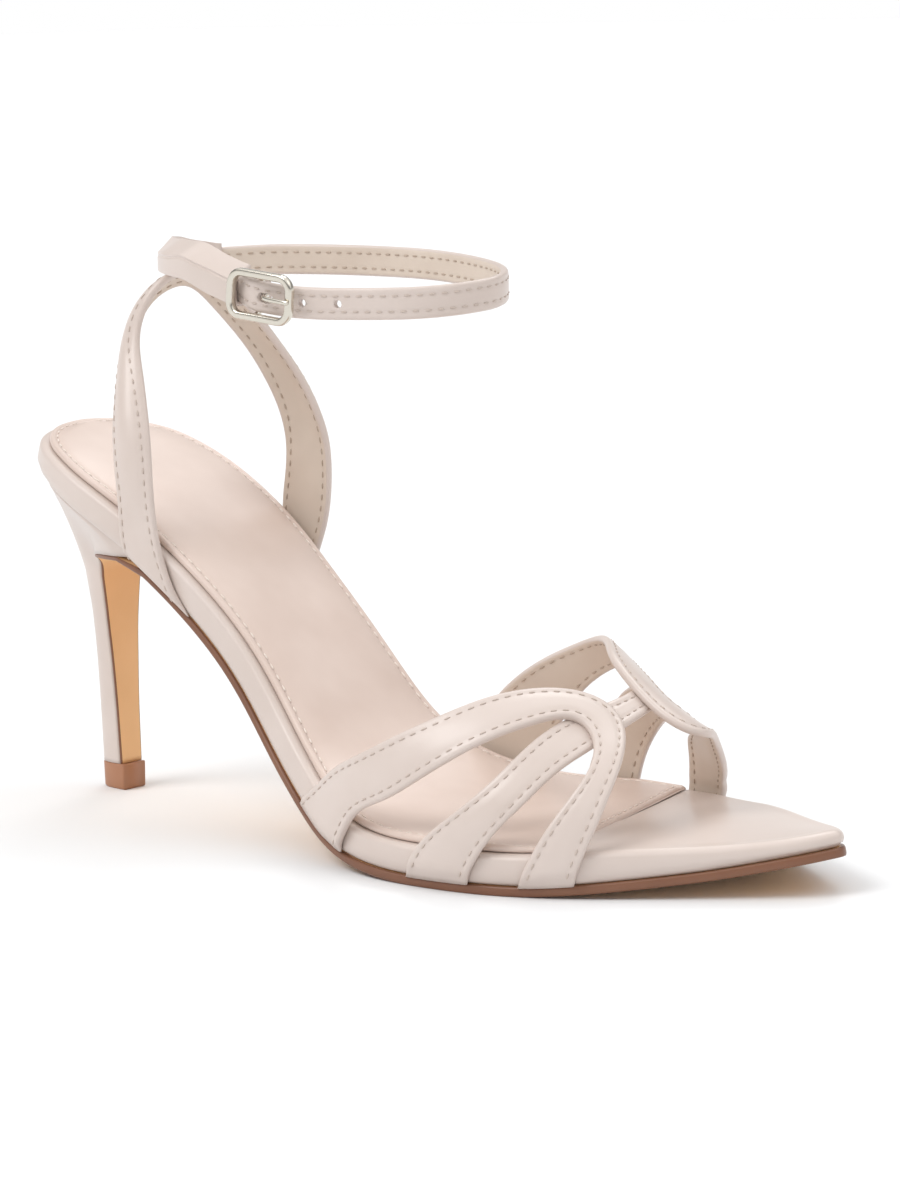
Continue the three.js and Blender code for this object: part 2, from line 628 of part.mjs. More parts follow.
function quarterStrap({ side, foot, rim, rows, top }) {
  const beside = (x) => side * (Math.abs(edgeY(x, side)) + fitGap);
  const seatHalf = Math.abs(beside(foot.rear));
  const joinUp = -sleeveHalfHeight + sleeveWall / 2;
  const edge = (end) => new THREE.CatmullRomCurve3([
    deckPoint(foot[end], beside(foot[end]), outsoleThickness),
    deckPoint(rim[end], beside(rim[end]), footbedTop(rim[end])),
    ...rows.map((row) => {
      const out = side * row[`${end}Out`] * seatHalf;
      return new THREE.Vector3(row[end] * shoeReach, out, row[`${end}Up`] * ankleHeight);
    }),
    ringPoint(top[end], sleeveOuter(top[end]) - strapWall, joinUp),
  ]);
  const rear = edge('rear');
  const front = edge('front');
  const bows = [0, 0, ...rows.map((row) => row.bow), 0.6].map((bow, i) => ({ row: i, bow }));
  const bowAt = monotone(bows, 'row', 'bow');
  const face = (step, across, offset) => {
    const middle = (at) => rear.getPoint(at).lerp(front.getPoint(at), 0.5);
    const along = middle(Math.min(step + 0.01, 1)).sub(middle(Math.max(step - 0.01, 0)));
    const width = front.getPoint(step).sub(rear.getPoint(step));
    const away = along.cross(width).multiplyScalar(side).normalize();
    const bow = quarterBow * bowAt(step * (bows.length - 1)) * 4 * across * (1 - across);
    const point = rear.getPoint(step).lerp(front.getPoint(step), across);
    point.addScaledVector(away, offset + bow);
    const place = deckPlace(point);
    const clear = Math.abs(edgeY(place.x, side)) + fitGap + offset;
    if (place.n < insoleTop(place.x) + fitGap && Math.abs(point.y) < clear) point.y = side * clear;
    return point;
  };
  return toSolid(strap(28, face, strapWall));
}

function quarterStraps() {
  const inside = () => -sleeveRoom - sleeveWall;
  const shell = ringBand(sleeveFarEnd, sleeveNearEnd, 20, inside, sleeveOuter, sleeveHalfHeight);
  const past = 5;
  const channel = ringBand(
    sleeveFarEnd - past,
    sleeveNearEnd + past,
    22,
    () => -sleeveRoom,
    sleeveLayers,
    channelHalfHeight,
  );
  const body = quarterStrap(outerQuarter).add(quarterStrap(innerQuarter)).add(toSolid(shell));
  return toGeometry(body.subtract(toSolid(channel)));
}

// Buckle sizes
const buckleAngle = 277; // ring angle of the frame's middle
const barSetback = 2.4; // bar behind the frame's middle
const buckleLength = 17; // along the strap
const buckleHeight = 13;
const buckleWire = 2.1;
const buckleThickness = 2;
const buckleCorner = 4;
const barWidth = 1.2;
const prongWidth = 1.3;
const prongHole = 2.8; // the strap's slot for the prong, in front of the bar
const prongSlot = 1.4; // and how much longer than wide it is
const holePitch = 8.6;
const holeRadius = 0.9;

// Layers at the buckle, outwards from the ring's inner face
const barInner = ankleStrapThickness + fitGap;
const strapOverBase = barInner;
const strapOverBar = barInner + barWidth + fitGap;
const degreesPer = (distance) => THREE.MathUtils.radToDeg(distance / ankleHalfLength);
const barAngle = buckleAngle - degreesPer(barSetback);
const frameSink = 0.4; // of the frame below the strap's face over the bar
const frameInner = strapOverBar + ankleStrapThickness - frameSink;
const frameOuter = frameInner + buckleThickness;

// Ankle strap: from the bar round the back, inner side and front, then over the bar and into the sleeve
const ankleLiftRows = [
  { past: -60, lift: 0 },
  { past: -34, lift: 0 },
  { past: -11, lift: 0.5 },
  { past: -4, lift: 0.8 },
  { past: 0, lift: 1 },
  { past: 2.5, lift: 0.92 },
  { past: 5, lift: 0.72 },
  { past: 8, lift: strapOverBase / strapOverBar },
  { past: 40, lift: strapOverBase / strapOverBar },
];
const ankleLift = monotone(ankleLiftRows, 'past', 'lift');

function holeCutter(distance, radius) {
  const angle = barAngle + degreesPer(distance);
  const from = ringPoint(angle, -3, 0);
  const to = ringPoint(angle, 9, 0);
  const cutter = new THREE.CylinderGeometry(radius, radius, from.distanceTo(to), 12);
  const outward = to.clone().sub(from).normalize();
  cutter.applyQuaternion(new THREE.Quaternion().setFromUnitVectors(new THREE.Vector3(0, 1, 0), outward));
  const middle = from.clone().lerp(to, 0.5);
  cutter.translate(middle.x, middle.y, middle.z);
  return toSolid(cutter);
}

function ankleStrap() {
  const start = barAngle + 1;
  const end = barAngle - 360 - 24;
  const inner = (angle) => strapOverBar * Math.max(ankleLift(barAngle - 360 - angle), 0);
  const outer = (angle) => inner(angle) + ankleStrapThickness;
  const band = ringBand(start, end, 132, inner, outer, ankleStrapWidth / 2);
  let solid = toSolid(band);
  for (const slide of [-0.5, 0, 0.5]) {
    solid = solid.subtract(holeCutter(prongHole + slide * prongSlot, prongWidth));
  }
  for (const step of [1, 2]) {
    solid = solid.subtract(holeCutter(prongHole + step * holePitch, holeRadius));
  }
  return toGeometry(solid);
}

function roundedRectangle(path, width, height, radius) {
  const x = width / 2;
  const y = height / 2;
  path.moveTo(-x + radius, -y);
  path.lineTo(x - radius, -y);
  path.absarc(x - radius, -y + radius, radius, -Math.PI / 2, 0, false);
  path.lineTo(x, y - radius);
  path.absarc(x - radius, y - radius, radius, 0, Math.PI / 2, false);
  path.lineTo(-x + radius, y);
  path.absarc(-x + radius, y - radius, radius, Math.PI / 2, Math.PI, false);
  path.lineTo(-x, -y + radius);
  path.absarc(-x + radius, -y + radius, radius, Math.PI, 1.5 * Math.PI, false);
  return path;
}

// The buckle's own axes: X along the strap to the front, Y up the leg, Z outwards from the ring
function buckleFrame() {
  const bevel = 0.5;
  const shape = roundedRectangle(
    new THREE.Shape(),
    buckleLength - 2 * bevel,
    buckleHeight - 2 * bevel,
    buckleCorner - bevel,
  );
  const opening = roundedRectangle(
    new THREE.Path(),
    buckleLength - 2 * buckleWire + 2 * bevel,
    buckleHeight - 2 * buckleWire + 2 * bevel,
    buckleCorner - buckleWire + bevel,
  );
  shape.holes.push(opening);
  const ring = new THREE.ExtrudeGeometry(shape, {
    depth: buckleThickness - 2 * bevel,
    bevelThickness: bevel,
    bevelSize: bevel,
    bevelSegments: 2,
    curveSegments: 5,
  });
  ring.translate(0, 0, frameInner + bevel);
  const half = buckleHeight / 2 - bevel;
  const inside = buckleHeight / 2 - buckleWire + bevel;
  const yoke = new THREE.Shape();
  yoke.moveTo(-half, frameInner + buckleThickness / 2);
  yoke.lineTo(-half, barInner);
  yoke.lineTo(half, barInner);
  yoke.lineTo(half, frameInner + buckleThickness / 2);
  yoke.lineTo(inside, frameInner + buckleThickness / 2);
  yoke.lineTo(inside, barInner + barWidth);
  yoke.lineTo(-inside, barInner + barWidth);
  yoke.lineTo(-inside, frameInner + buckleThickness / 2);
  const bar = new THREE.ExtrudeGeometry(yoke, { depth: barWidth, bevelEnabled: false });
  bar.translate(0, 0, -barWidth / 2);
  bar.rotateY(Math.PI / 2);
  bar.rotateX(Math.PI / 2);
  bar.translate(-barSetback, 0, 0);
  return toGeometry(toSolid(ring).add(toSolid(bar)));
}

function buckleProng() {
  const reach = buckleLength / 2 - buckleWire / 2;
  const root = barWidth / 2 + fitGap + prongWidth / 2 - barSetback;
  const hole = prongHole - barSetback;
  const path = new THREE.CatmullRomCurve3([
    new THREE.Vector3(root, 0, barInner + 0.4),
    new THREE.Vector3(hole - 0.4, 0, strapOverBar + 0.6),
    new THREE.Vector3(hole + 1.6, 0, frameOuter + 0.1),
    new THREE.Vector3(reach, 0, frameOuter + fitGap + prongWidth / 2),
    new THREE.Vector3(reach + 1.2, 0, frameOuter + fitGap + prongWidth / 2 - 0.1),
  ]);
  const section = new THREE.Shape().absarc(0, 0, prongWidth / 2, 0, 2 * Math.PI, false);
  return new THREE.ExtrudeGeometry(section, { steps: 14, curveSegments: 4, extrudePath: path });
}

function placeOnStrap(mesh) {
  const outward = ringPoint(buckleAngle, 1, 0).sub(ringPoint(buckleAngle, 0, 0)).normalize();
  const halfTurn = degreesPer(buckleLength / 2);
  const ahead = ringPoint(buckleAngle + halfTurn, 0, 0);
  const behind = ringPoint(buckleAngle - halfTurn, 0, 0);
  const forward = ahead.clone().sub(behind).normalize();
  const drop = ahead.lerp(behind, 0.5).z - ringPoint(buckleAngle, 0, 0).z;
  const up = outward.clone().cross(forward).normalize();
  const facing = forward.clone().cross(up);
  mesh.quaternion.setFromRotationMatrix(new THREE.Matrix4().makeBasis(forward, up, facing));
  mesh.position.copy(ringPoint(buckleAngle, 0, drop / 2));
}

// Colours
function material(color, roughness, metalness) {
  return new THREE.MeshStandardMaterial({ color, roughness, metalness });
}
const upperLeather = material('#e6d8cd', 0.45, 0);
const sockLeather = material('#d8c5b8', 0.5, 0);
const soleEdge = material('#8c5f48', 0.5, 0);
const tipRubber = material('#a9745a', 0.5, 0);
const nickel = material('#d8d2c6', 0.2, 1);

const sandal = new THREE.Group();
function add(name, geometry, finish) {
  const mesh = new THREE.Mesh(geometry, finish);
  mesh.name = name;
  sandal.add(mesh);
  return mesh;
}
add('outsole', outsole(), soleEdge);
add('footbed', footbed(), upperLeather);
add('insole', insole(), sockLeather);
add('heel', heel(), upperLeather);
add('top_piece', topPiece(), tipRubber);
add('vamp_straps', vampStraps(), upperLeather);
add('quarter_straps', quarterStraps(), upperLeather);
add('ankle_strap', ankleStrap(), upperLeather);
placeOnStrap(add('buckle_frame', buckleFrame(), nickel));
placeOnStrap(add('buckle_prong', buckleProng(), nickel));

// The origin is on the floor, below the middle of the sandal
sandal.updateMatrixWorld(true);
const box = new THREE.Box3().setFromObject(sandal);
const middle = box.getCenter(new THREE.Vector3());
sandal.position.set(-middle.x, -middle.y, -box.min.z);

export default sandal;
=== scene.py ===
"""Strappy heeled sandal for the right foot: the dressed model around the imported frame.

The sizes below are the shoe's own, in millimetres, from the heel's back (X), the middle line (Y) and
the floor (Z). One function turns them to the frame's metres.
"""

import math

import bmesh
import bpy
import numpy
from mathutils import Matrix, Vector


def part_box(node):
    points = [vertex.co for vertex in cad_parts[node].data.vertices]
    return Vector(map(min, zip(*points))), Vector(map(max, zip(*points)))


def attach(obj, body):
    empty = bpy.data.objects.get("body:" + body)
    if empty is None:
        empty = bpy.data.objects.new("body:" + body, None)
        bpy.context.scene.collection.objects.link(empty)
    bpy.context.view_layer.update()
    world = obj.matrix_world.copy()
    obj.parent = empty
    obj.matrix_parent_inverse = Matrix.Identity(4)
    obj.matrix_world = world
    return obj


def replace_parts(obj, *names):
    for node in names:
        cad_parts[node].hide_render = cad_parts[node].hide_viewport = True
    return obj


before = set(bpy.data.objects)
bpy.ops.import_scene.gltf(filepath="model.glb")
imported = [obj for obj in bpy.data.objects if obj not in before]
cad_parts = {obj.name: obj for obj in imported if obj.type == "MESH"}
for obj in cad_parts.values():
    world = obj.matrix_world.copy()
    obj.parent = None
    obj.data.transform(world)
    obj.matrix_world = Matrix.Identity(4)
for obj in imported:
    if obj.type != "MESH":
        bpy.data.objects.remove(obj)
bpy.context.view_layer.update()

# Sole sizes
SHOE_REACH = 225.0
HEEL_RISE = 78.6
TOE_SPRING = 8.1
LATERAL_BALL = 42.5
MEDIAL_BALL = 40.0
OUTSOLE_THICKNESS = 2.0
WAIST_SOLE_THICKNESS = 1.4
FOOTBED_THICKNESS = 6.6
FOOTBED_TOE_THICKNESS = 3.6
SEAT_TUCK = 5.0
WAIST_TUCK = 0.9
SOCK_THICKNESS = 1.6
SOCK_MARGIN = 2.0
SOCK_BED = 0.12
SOCK_CROWN = 0.55
SOCK_CHANNEL = 1.65
SOCK_SLANT_START = 105.0
SOCK_END_LATERAL = 179.0
SOCK_END_MEDIAL = 158.0
RIM_SOFTNESS = (1.6, 2.4)
TOE_DOME = 1.3
FIT_GAP = 0.3

# Heel sizes
HEEL_SEAT_REACH = 46.0
NECK_HEIGHT = 52.0
TIP_BACK = 11.2
TIP_FRONT = 18.9
TIP_WIDTH = 6.8
TOP_PIECE_HEIGHT = 6.2
BREAST_COVER = 1.2
FLAP_THICKNESS = 0.6
HEEL_SQUARENESS = 0.85

# Strap sizes
STRAP_WALL = 1.8
CROSS_WALL = 1.5
CROSS_LIFT = 1.4
VAMP_RISE = 44.0
RIDGE_SHIFT = 3.0
OUTER_FALL = 0.86
FOOT_UPRIGHT = 0.05
FOOT_TAPER = 4.0
FOREFOOT_EVEN = 5.0
HEEL_STRAP_EVEN = 5.0
QUARTER_BOW = 3.0
SETTLED_REACH = 16.0
STRAP_SPREAD = 1.2
STITCH_INSET = 1.8
STITCH_PITCH = 2.7
STITCH_LENGTH = 1.5
STITCH_THICKNESS = 0.45
STITCH_CHANNEL = 0.55
SOCK_STITCH_PITCH = 3.0
SOCK_STITCH_LENGTH = 1.9

# Ankle strap and buckle sizes
ANKLE_HEIGHT = 124.0
ANKLE_CENTRE = 89.4
ANKLE_HALF_LENGTH = 45.0
ANKLE_HALF_WIDTH = 23.3
ANKLE_STRAP_WIDTH = 7.0
ANKLE_STRAP_THICKNESS = 1.7
SLEEVE_WALL = 1.0
SLEEVE_SQUEEZE = 0.62
SLEEVE_FOLD = (1.0, 1.7)
SLEEVE_CREST = (4.6, 4.7)
SLEEVE_DROP = (2.9, 4.1)
SLEEVE_ROOM = 0.4
SLEEVE_FAR_END = 160.0
SLEEVE_NEAR_END = 265.6
BUCKLE_ANGLE = 275.8
BUCKLE_LEVELLING = 0.6
BAR_SETBACK = 2.4
BUCKLE_LENGTH = 18.8
BUCKLE_HEIGHT = 11.6
BUCKLE_WIRE = 2.1
BUCKLE_THICKNESS = 2.0
BUCKLE_CORNER = 4.0
BAR_WIDTH = 1.2
PRONG_WIDTH = 1.3
WIRE_FLATNESS = 0.7
PRONG_HOLE = 2.8
PRONG_SLOT = 1.4
HOLE_PITCH = 8.6
HOLE_RADIUS = 0.9
STRAP_TAIL = 24.0

LATERAL, MEDIAL = -1, 1

# Side view of the sole's underside, in shares of the reach, the heel's rise and the toe spring
PROFILE = dict(
    along=(0, 0.095, 0.207, 0.323, 0.431, 0.538, 0.613, 0.747, 0.884, 1),
    rise=(1, 0.908, 0.745, 0.499, 0.18, 0.03, 0, 0, 0, 0),
    spring=(0, 0, 0, 0, 0, 0, 0, 0, 0.37, 1),
)

# Plan view: half widths in shares of the two ball sizes
OUTLINE = dict(
    along=(
        0, 0.006, 0.026, 0.065, 0.12, 0.207, 0.323, 0.431,
        0.538, 0.625, 0.711, 0.797, 0.884, 0.948, 0.983, 1,
    ),
    lateral=(
        -0.03, 0.165, 0.355, 0.515, 0.598, 0.58, 0.57, 0.7,
        0.93, 1, 0.97, 0.8, 0.5, 0.25, 0.09, -0.09,
    ),
    medial=(
        0.03, 0.225, 0.425, 0.59, 0.635, 0.595, 0.475, 0.475,
        0.675, 0.885, 1, 0.88, 0.63, 0.4, 0.235, 0.11,
    ),
)

# The form under the forefoot straps: its rise, and how flat its inner side falls
LAST = dict(
    along=(0.44, 0.51, 0.58, 0.64, 0.71, 0.78, 0.845, 0.91),
    rise=(1.54, 1.41, 1.25, 1.11, 0.94, 0.76, 0.59, 0.46),
    fall=(0.9, 0.9, 0.95, 1, 1.45, 1.75, 1.6, 1.3),
)

# Heel sections: height as a share of the neck's, the others as shares of the tip's sizes
HEEL = dict(
    up=(0, 0.3, 0.55, 0.78, 1),
    back=(1, 0.973, 0.955, 0.911, 0.795),
    front=(1, 0.979, 0.963, 0.947, 0.947),
    width=(1, 1.09, 1.26, 1.5, 1.85),
)

# Height of the ankle strap's middle by ring angle, as a share of the ankle's
RING = dict(
    angle=(
        0, 45, 90, 135, 160, 180, 205, 240,
        256, 268, 277, 286, 296, 315, 360,
    ),
    height=(
        0.985, 1.002, 1.016, 1.019, 1.016, 1.028, 1.038, 1.038,
        1.016, 0.995, 0.982, 0.9755, 0.9735, 0.974, 0.985,
    ),
)

# Lift of the ankle strap over the buckle's bar, as a share, by degrees from the bar
STRAP_LIFT = dict(
    turn=(-60, -34, -11, -4, 0, 2.5, 5, 8, 40),
    lift=(0, 0, 0.5, 0.8, 1, 0.92, 0.72, 0.571, 0.571),
)

# Edges of the forefoot straps: share of the reach and turn round the foot, outer edge first, then inner
OUTER_LOOP = [
    (0.462, 0, 0.546, 0), (0.5, 0.079, 0.567, 0.062), (0.572, 0.143, 0.622, 0.1),
    (0.631, 0.205, 0.667, 0.155), (0.667, 0.262, 0.7, 0.215), (0.693, 0.325, 0.724, 0.27),
    (0.716, 0.378, 0.742, 0.32), (0.738, 0.415, 0.753, 0.353), (0.762, 0.428, 0.767, 0.362),
    (0.791, 0.412, 0.787, 0.345), (0.816, 0.365, 0.804, 0.3), (0.831, 0.3, 0.81, 0.25),
    (0.836, 0.22, 0.807, 0.195), (0.835, 0.13, 0.795, 0.12), (0.824, 0.055, 0.778, 0.055),
    (0.809, 0, 0.76, 0),
]
INNER_LOOP = [
    (0.453, 1, 0.529, 1), (0.462, 0.93, 0.542, 0.93), (0.473, 0.88, 0.564, 0.865),
    (0.502, 0.83, 0.591, 0.81), (0.547, 0.782, 0.618, 0.775), (0.596, 0.725, 0.644, 0.735),
    (0.64, 0.662, 0.673, 0.695), (0.68, 0.595, 0.702, 0.66), (0.711, 0.545, 0.729, 0.635),
    (0.747, 0.513, 0.753, 0.618), (0.782, 0.497, 0.773, 0.615), (0.818, 0.48, 0.787, 0.625),
    (0.842, 0.5, 0.791, 0.65), (0.844, 0.56, 0.782, 0.68), (0.831, 0.625, 0.764, 0.715),
    (0.809, 0.7, 0.74, 0.75), (0.784, 0.775, 0.718, 0.79), (0.76, 0.85, 0.707, 0.845),
    (0.742, 0.92, 0.698, 0.92), (0.736, 1, 0.691, 1),
]
CROSS_STRAP = [
    (0.64, 0, 0.711, 0), (0.658, 0.05, 0.724, 0.04), (0.693, 0.092, 0.749, 0.1),
    (0.727, 0.165, 0.769, 0.157), (0.742, 0.25, 0.784, 0.245), (0.749, 0.33, 0.795, 0.32),
    (0.756, 0.41, 0.795, 0.4), (0.756, 0.49, 0.788, 0.485), (0.742, 0.57, 0.776, 0.57),
    (0.716, 0.65, 0.753, 0.655), (0.676, 0.725, 0.72, 0.73), (0.64, 0.785, 0.689, 0.79),
    (0.613, 0.85, 0.664, 0.855), (0.593, 0.92, 0.647, 0.92), (0.582, 1, 0.638, 1),
]

# Heel strap, from its outer foot over the arch behind the ankle to its inner foot: points of the inner
# face along its rear edge and its front edge, above the rim of the footbed
HEEL_STRAP_REAR = [
    (45.3, -24.95, 65), (45.2, -24.95, 70), (45, -24.95, 77), (41.8, -21.9, 89), (38, -15, 101.5),
    (36.5, -9, 111), (38.6, -6, 117.6), (41, -2.6, 120), (42, 0.5, 120.5), (42.2, 4, 119.4),
    (42.8, 8.4, 115.4), (45.6, 15.7, 106.3), (47.9, 20, 98), (49.8, 22.7, 90), (50.2, 24, 83),
    (49.6, 24.1, 75), (47.9, 24.1, 66),
]
HEEL_STRAP_FRONT = [
    (60.6, -24.95, 55.6), (58.2, -24.95, 61), (56, -24.95, 72), (51.8, -21.9, 87), (45.5, -17, 102),
    (42, -13.8, 111), (44, -11, 119.3), (47, -8, 123), (46, 0, 124), (47, 7, 122), (51, 12.5, 114.5),
    (54.6, 17, 106), (59, 20.6, 97), (62.4, 22.9, 87), (63.6, 24, 80), (63.2, 24.1, 69),
    (61.2, 24.1, 61.5),
]
OUTER_FOOT = dict(rear=46.2, front=63.0)
INNER_FOOT = dict(rear=47.0, front=57.6)

tip_low, tip_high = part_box("top_piece")
ORIGIN = Vector((tip_low[0] * 1000 - TIP_BACK, (tip_low[1] + tip_high[1]) * 500, 0))


def metres(point):
    return (Vector(point) + ORIGIN) / 1000


# Curves


def monotone(at, value):
    """A smooth curve through a table's column that never overshoots its rows."""
    last = len(at) - 1
    chord = [(value[i + 1] - value[i]) / (at[i + 1] - at[i]) for i in range(last)]
    slope = [chord[0]]
    for i in range(1, last):
        if chord[i - 1] * chord[i] <= 0:
            slope.append(0)
            continue
        before, after = at[i] - at[i - 1], at[i + 1] - at[i]
        weight = (before + 2 * after) / chord[i - 1] + (2 * before + after) / chord[i]
        slope.append(3 * (before + after) / weight)
    slope.append(chord[-1])

    def curve(place):
        if place <= at[0]:
            return value[0] + slope[0] * (place - at[0])
        if place >= at[last]:
            return value[last] + slope[last] * (place - at[last])
        i = 0
        while place > at[i + 1]:
            i += 1
        step = at[i + 1] - at[i]
        t = (place - at[i]) / step
        rest = 1 - t
        ends = value[i] * (1 + 2 * t) * rest * rest + value[i + 1] * t * t * (3 - 2 * t)
        return ends + step * t * rest * (slope[i] * rest - slope[i + 1] * t)

    return curve


def through(points, even=False):
    """A curve through points, with t from 0 to 1. Even steps for edge tables, chord-wise ones in space."""
    points = [Vector(p) for p in points]
    last = len(points) - 1

    def curve(t):
        place = min(max(t, 0), 1) * last
        i = min(int(place), last - 1)
        w = place - i
        p1, p2 = points[i], points[i + 1]
        p0 = points[i - 1] if i else (p1 if even else 2 * p1 - p2)
        p3 = points[i + 2] if i + 2 <= last else (p2 if even else 2 * p2 - p1)
        if even:
            t1, t2 = (p2 - p0) / 2, (p3 - p1) / 2
        else:
            d0, d1, d2 = (max((b - a).length, 1e-6) ** 0.5 for a, b in ((p0, p1), (p1, p2), (p2, p3)))
            t1 = ((p1 - p0) / d0 - (p2 - p0) / (d0 + d1) + (p2 - p1) / d1) * d1
            t2 = ((p2 - p1) / d1 - (p3 - p1) / (d1 + d2) + (p3 - p2) / d2) * d1
        return p1 + t1 * w + (3 * (p2 - p1) - 2 * t1 - t2) * w**2 + (2 * (p1 - p2) + t1 + t2) * w**3

    return curve


def smooth(t):
    u = min(max(t, 0), 1)
    return u * u * (3 - 2 * u)


def mix(a, b, t):
    return a + (b - a) * t


def span(start, end, count):
    return [start + (end - start) * i / count for i in range(count + 1)]


# Sole

def eased(curve, spread):
    """Evens out a curve over the shoe's reach, from shares 0 to 1, and leaves its two ends as they are.
    spread is in millimetres."""
    count = 450
    shares = numpy.linspace(0, 1, count + 1)
    drawn = numpy.array([curve(s) for s in shares])
    soft = drawn
    for _ in range(round(2 * (spread / SHOE_REACH * count) ** 2)):
        soft = numpy.concatenate((soft[:1], (soft[:-2] + 2 * soft[1:-1] + soft[2:]) / 4, soft[-1:]))
    kept = numpy.array([smooth((min(s, 1 - s) - 0.03) / 0.1) for s in shares])
    values = (drawn + (soft - drawn) * kept).tolist()

    def even(share):
        if share <= 0 or share >= 1:
            return curve(share)
        place = share * count
        i = min(int(place), count - 1)
        return mix(values[i], values[i + 1], place - i)

    return even


rise_share = eased(monotone(PROFILE["along"], PROFILE["rise"]), 7)
spring_share = eased(monotone(PROFILE["along"], PROFILE["spring"]), 4)
half_width = {
    LATERAL: eased(monotone(OUTLINE["along"], OUTLINE["lateral"]), 6),
    MEDIAL: eased(monotone(OUTLINE["along"], OUTLINE["medial"]), 6),
}
BALL = {LATERAL: LATERAL_BALL, MEDIAL: MEDIAL_BALL}
last_rise = monotone(LAST["along"], LAST["rise"])
last_fall = monotone(LAST["along"], LAST["fall"])


def sole_height(x):
    return HEEL_RISE * rise_share(x / SHOE_REACH) + TOE_SPRING * spring_share(x / SHOE_REACH)


def sole_slope(x):
    return (sole_height(x + 1.5) - sole_height(x - 1.5)) / 3


def deck(x, y, n):
    """The point n above the sole's underside, measured square to it."""
    slope = sole_slope(x)
    length = math.hypot(1, slope)
    return Vector((x - n * slope / length, y, sole_height(x) + n / length))


def deck_place(point):
    """The station and height above the underside of a point beside the sole."""
    x, n = point.x, 0
    for _ in range(4):
        slope = sole_slope(x)
        length = math.hypot(1, slope)
        n = (point.z - sole_height(x)) * length
        x = point.x + n * slope / length
        n = (point.z - sole_height(x)) * math.hypot(1, slope)
    return x, n


def edge_y(x, side):
    """The footbed's edge from the middle line, before its tip is rounded."""
    return side * BALL[side] * half_width[side](x / SHOE_REACH)


def sole_stations(count):
    """Places along the shoe, closer together towards its two ends."""
    return [SHOE_REACH * (1 - math.cos(a)) / 2 for a in span(0, math.pi, count)]


def plan_line():
    """The footbed's edge in plan with its tip rounded off: for each side, points and outward directions at
    even steps of the stations' angle."""
    stations = sole_stations(600)
    drawn = [(x, edge_y(x, LATERAL)) for x in stations]
    drawn += [(x, edge_y(x, MEDIAL)) for x in reversed(stations)]
    drawn = numpy.array(drawn)
    steps = numpy.linalg.norm(numpy.diff(drawn, axis=0), axis=1)
    run = numpy.concatenate(([0], numpy.cumsum(steps)))
    even = numpy.linspace(0, run[-1], 1200, endpoint=False)
    line = numpy.stack([numpy.interp(even, run, drawn[:, i]) for i in (0, 1)], axis=1)
    for _ in range(36):
        line = (numpy.roll(line, 1, axis=0) + 2 * line + numpy.roll(line, -1, axis=0)) / 4
    line[:, 0] = (line[:, 0] - line[:, 0].min()) * SHOE_REACH / numpy.ptp(line[:, 0])
    along = numpy.roll(line, -1, axis=0) - numpy.roll(line, 1, axis=0)
    along /= numpy.linalg.norm(along, axis=1)[:, None]
    table = numpy.hstack([line, along[:, 1:], -along[:, :1]])
    table = numpy.roll(table, -int(line[:, 0].argmin()), axis=0)
    tip = int(table[:, 0].argmax())
    halves = {LATERAL: table[: tip + 1], MEDIAL: numpy.vstack([table[tip:], table[:1]])[::-1]}
    count = 900
    places = sole_stations(count)
    return {
        side: numpy.stack([numpy.interp(places, half[:, 0], half[:, i]) for i in range(4)], axis=1).tolist()
        for side, half in halves.items()
    }


PLAN = plan_line()


def edge(x, side, inset):
    """The footbed's edge in plan, drawn in by an inset square to it."""
    last = len(PLAN[side]) - 1
    share = min(max(x / SHOE_REACH, 0), 1)
    place = math.acos(1 - 2 * share) / math.pi * last
    i = min(int(place), last - 1)
    px, py, nx, ny = (mix(a, b, place - i) for a, b in zip(PLAN[side][i], PLAN[side][i + 1]))
    return px - inset * nx, py - inset * ny


def footbed_depth(x):
    return mix(FOOTBED_THICKNESS, FOOTBED_TOE_THICKNESS, smooth((x / SHOE_REACH - 0.82) / 0.18))


def footbed_top(x):
    return OUTSOLE_THICKNESS + FIT_GAP + footbed_depth(x)


def lower_tuck(x):
    """How far the footbed's side draws in at its lower edge."""
    return WAIST_TUCK + (SEAT_TUCK - WAIST_TUCK) * math.exp(-x / (0.04 * SHOE_REACH))


def sole_thickness(x):
    """The leather sole is thinner through the waist."""
    return mix(WAIST_SOLE_THICKNESS, OUTSOLE_THICKNESS, smooth((x - 110) / 30))


# Meshes


def placed(name, data):
    """A new object in the scene for a mesh, a lamp or the camera."""
    made = bpy.data.objects.new(name, data)
    bpy.context.scene.collection.objects.link(made)
    return made


def skin(name, rings, finishes, columns=None, closed=False):
    """A closed mesh through rings of equal length. columns gives each strip's finish by its number."""
    size = len(rings[0])
    points = [metres(p) for ring in rings for p in ring]
    faces, finish = [], []
    laps = len(rings) if closed else len(rings) - 1
    for r in range(laps):
        for i in range(size):
            j = (i + 1) % size
            a, b = r * size, ((r + 1) % len(rings)) * size
            faces.append((a + i, a + j, b + j, b + i))
            finish.append(columns[i] if columns else 0)
    if not closed:
        for base in (0, (len(rings) - 1) * size):
            faces.append(tuple(range(base, base + size)))
            finish.append(0)
    mesh = bpy.data.meshes.new(name)
    mesh.from_pydata(points, [], faces)
    mesh.validate()
    for item in finishes:
        mesh.materials.append(item)
    mesh.polygons.foreach_set("material_index", finish)
    face_out(mesh)
    mesh.polygons.foreach_set("use_smooth", [True] * len(mesh.polygons))
    piece = placed(name, mesh)
    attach(piece, "root")
    return piece


def face_out(mesh):
    """Merges doubles and points every face outwards."""
    work = bmesh.new()
    work.from_mesh(mesh)
    bmesh.ops.remove_doubles(work, verts=work.verts, dist=1e-6)
    bmesh.ops.triangulate(work, faces=[f for f in work.faces if len(f.verts) > 4])
    bmesh.ops.recalc_face_normals(work, faces=work.faces)
    work.to_mesh(mesh)
    work.free()


# Materials


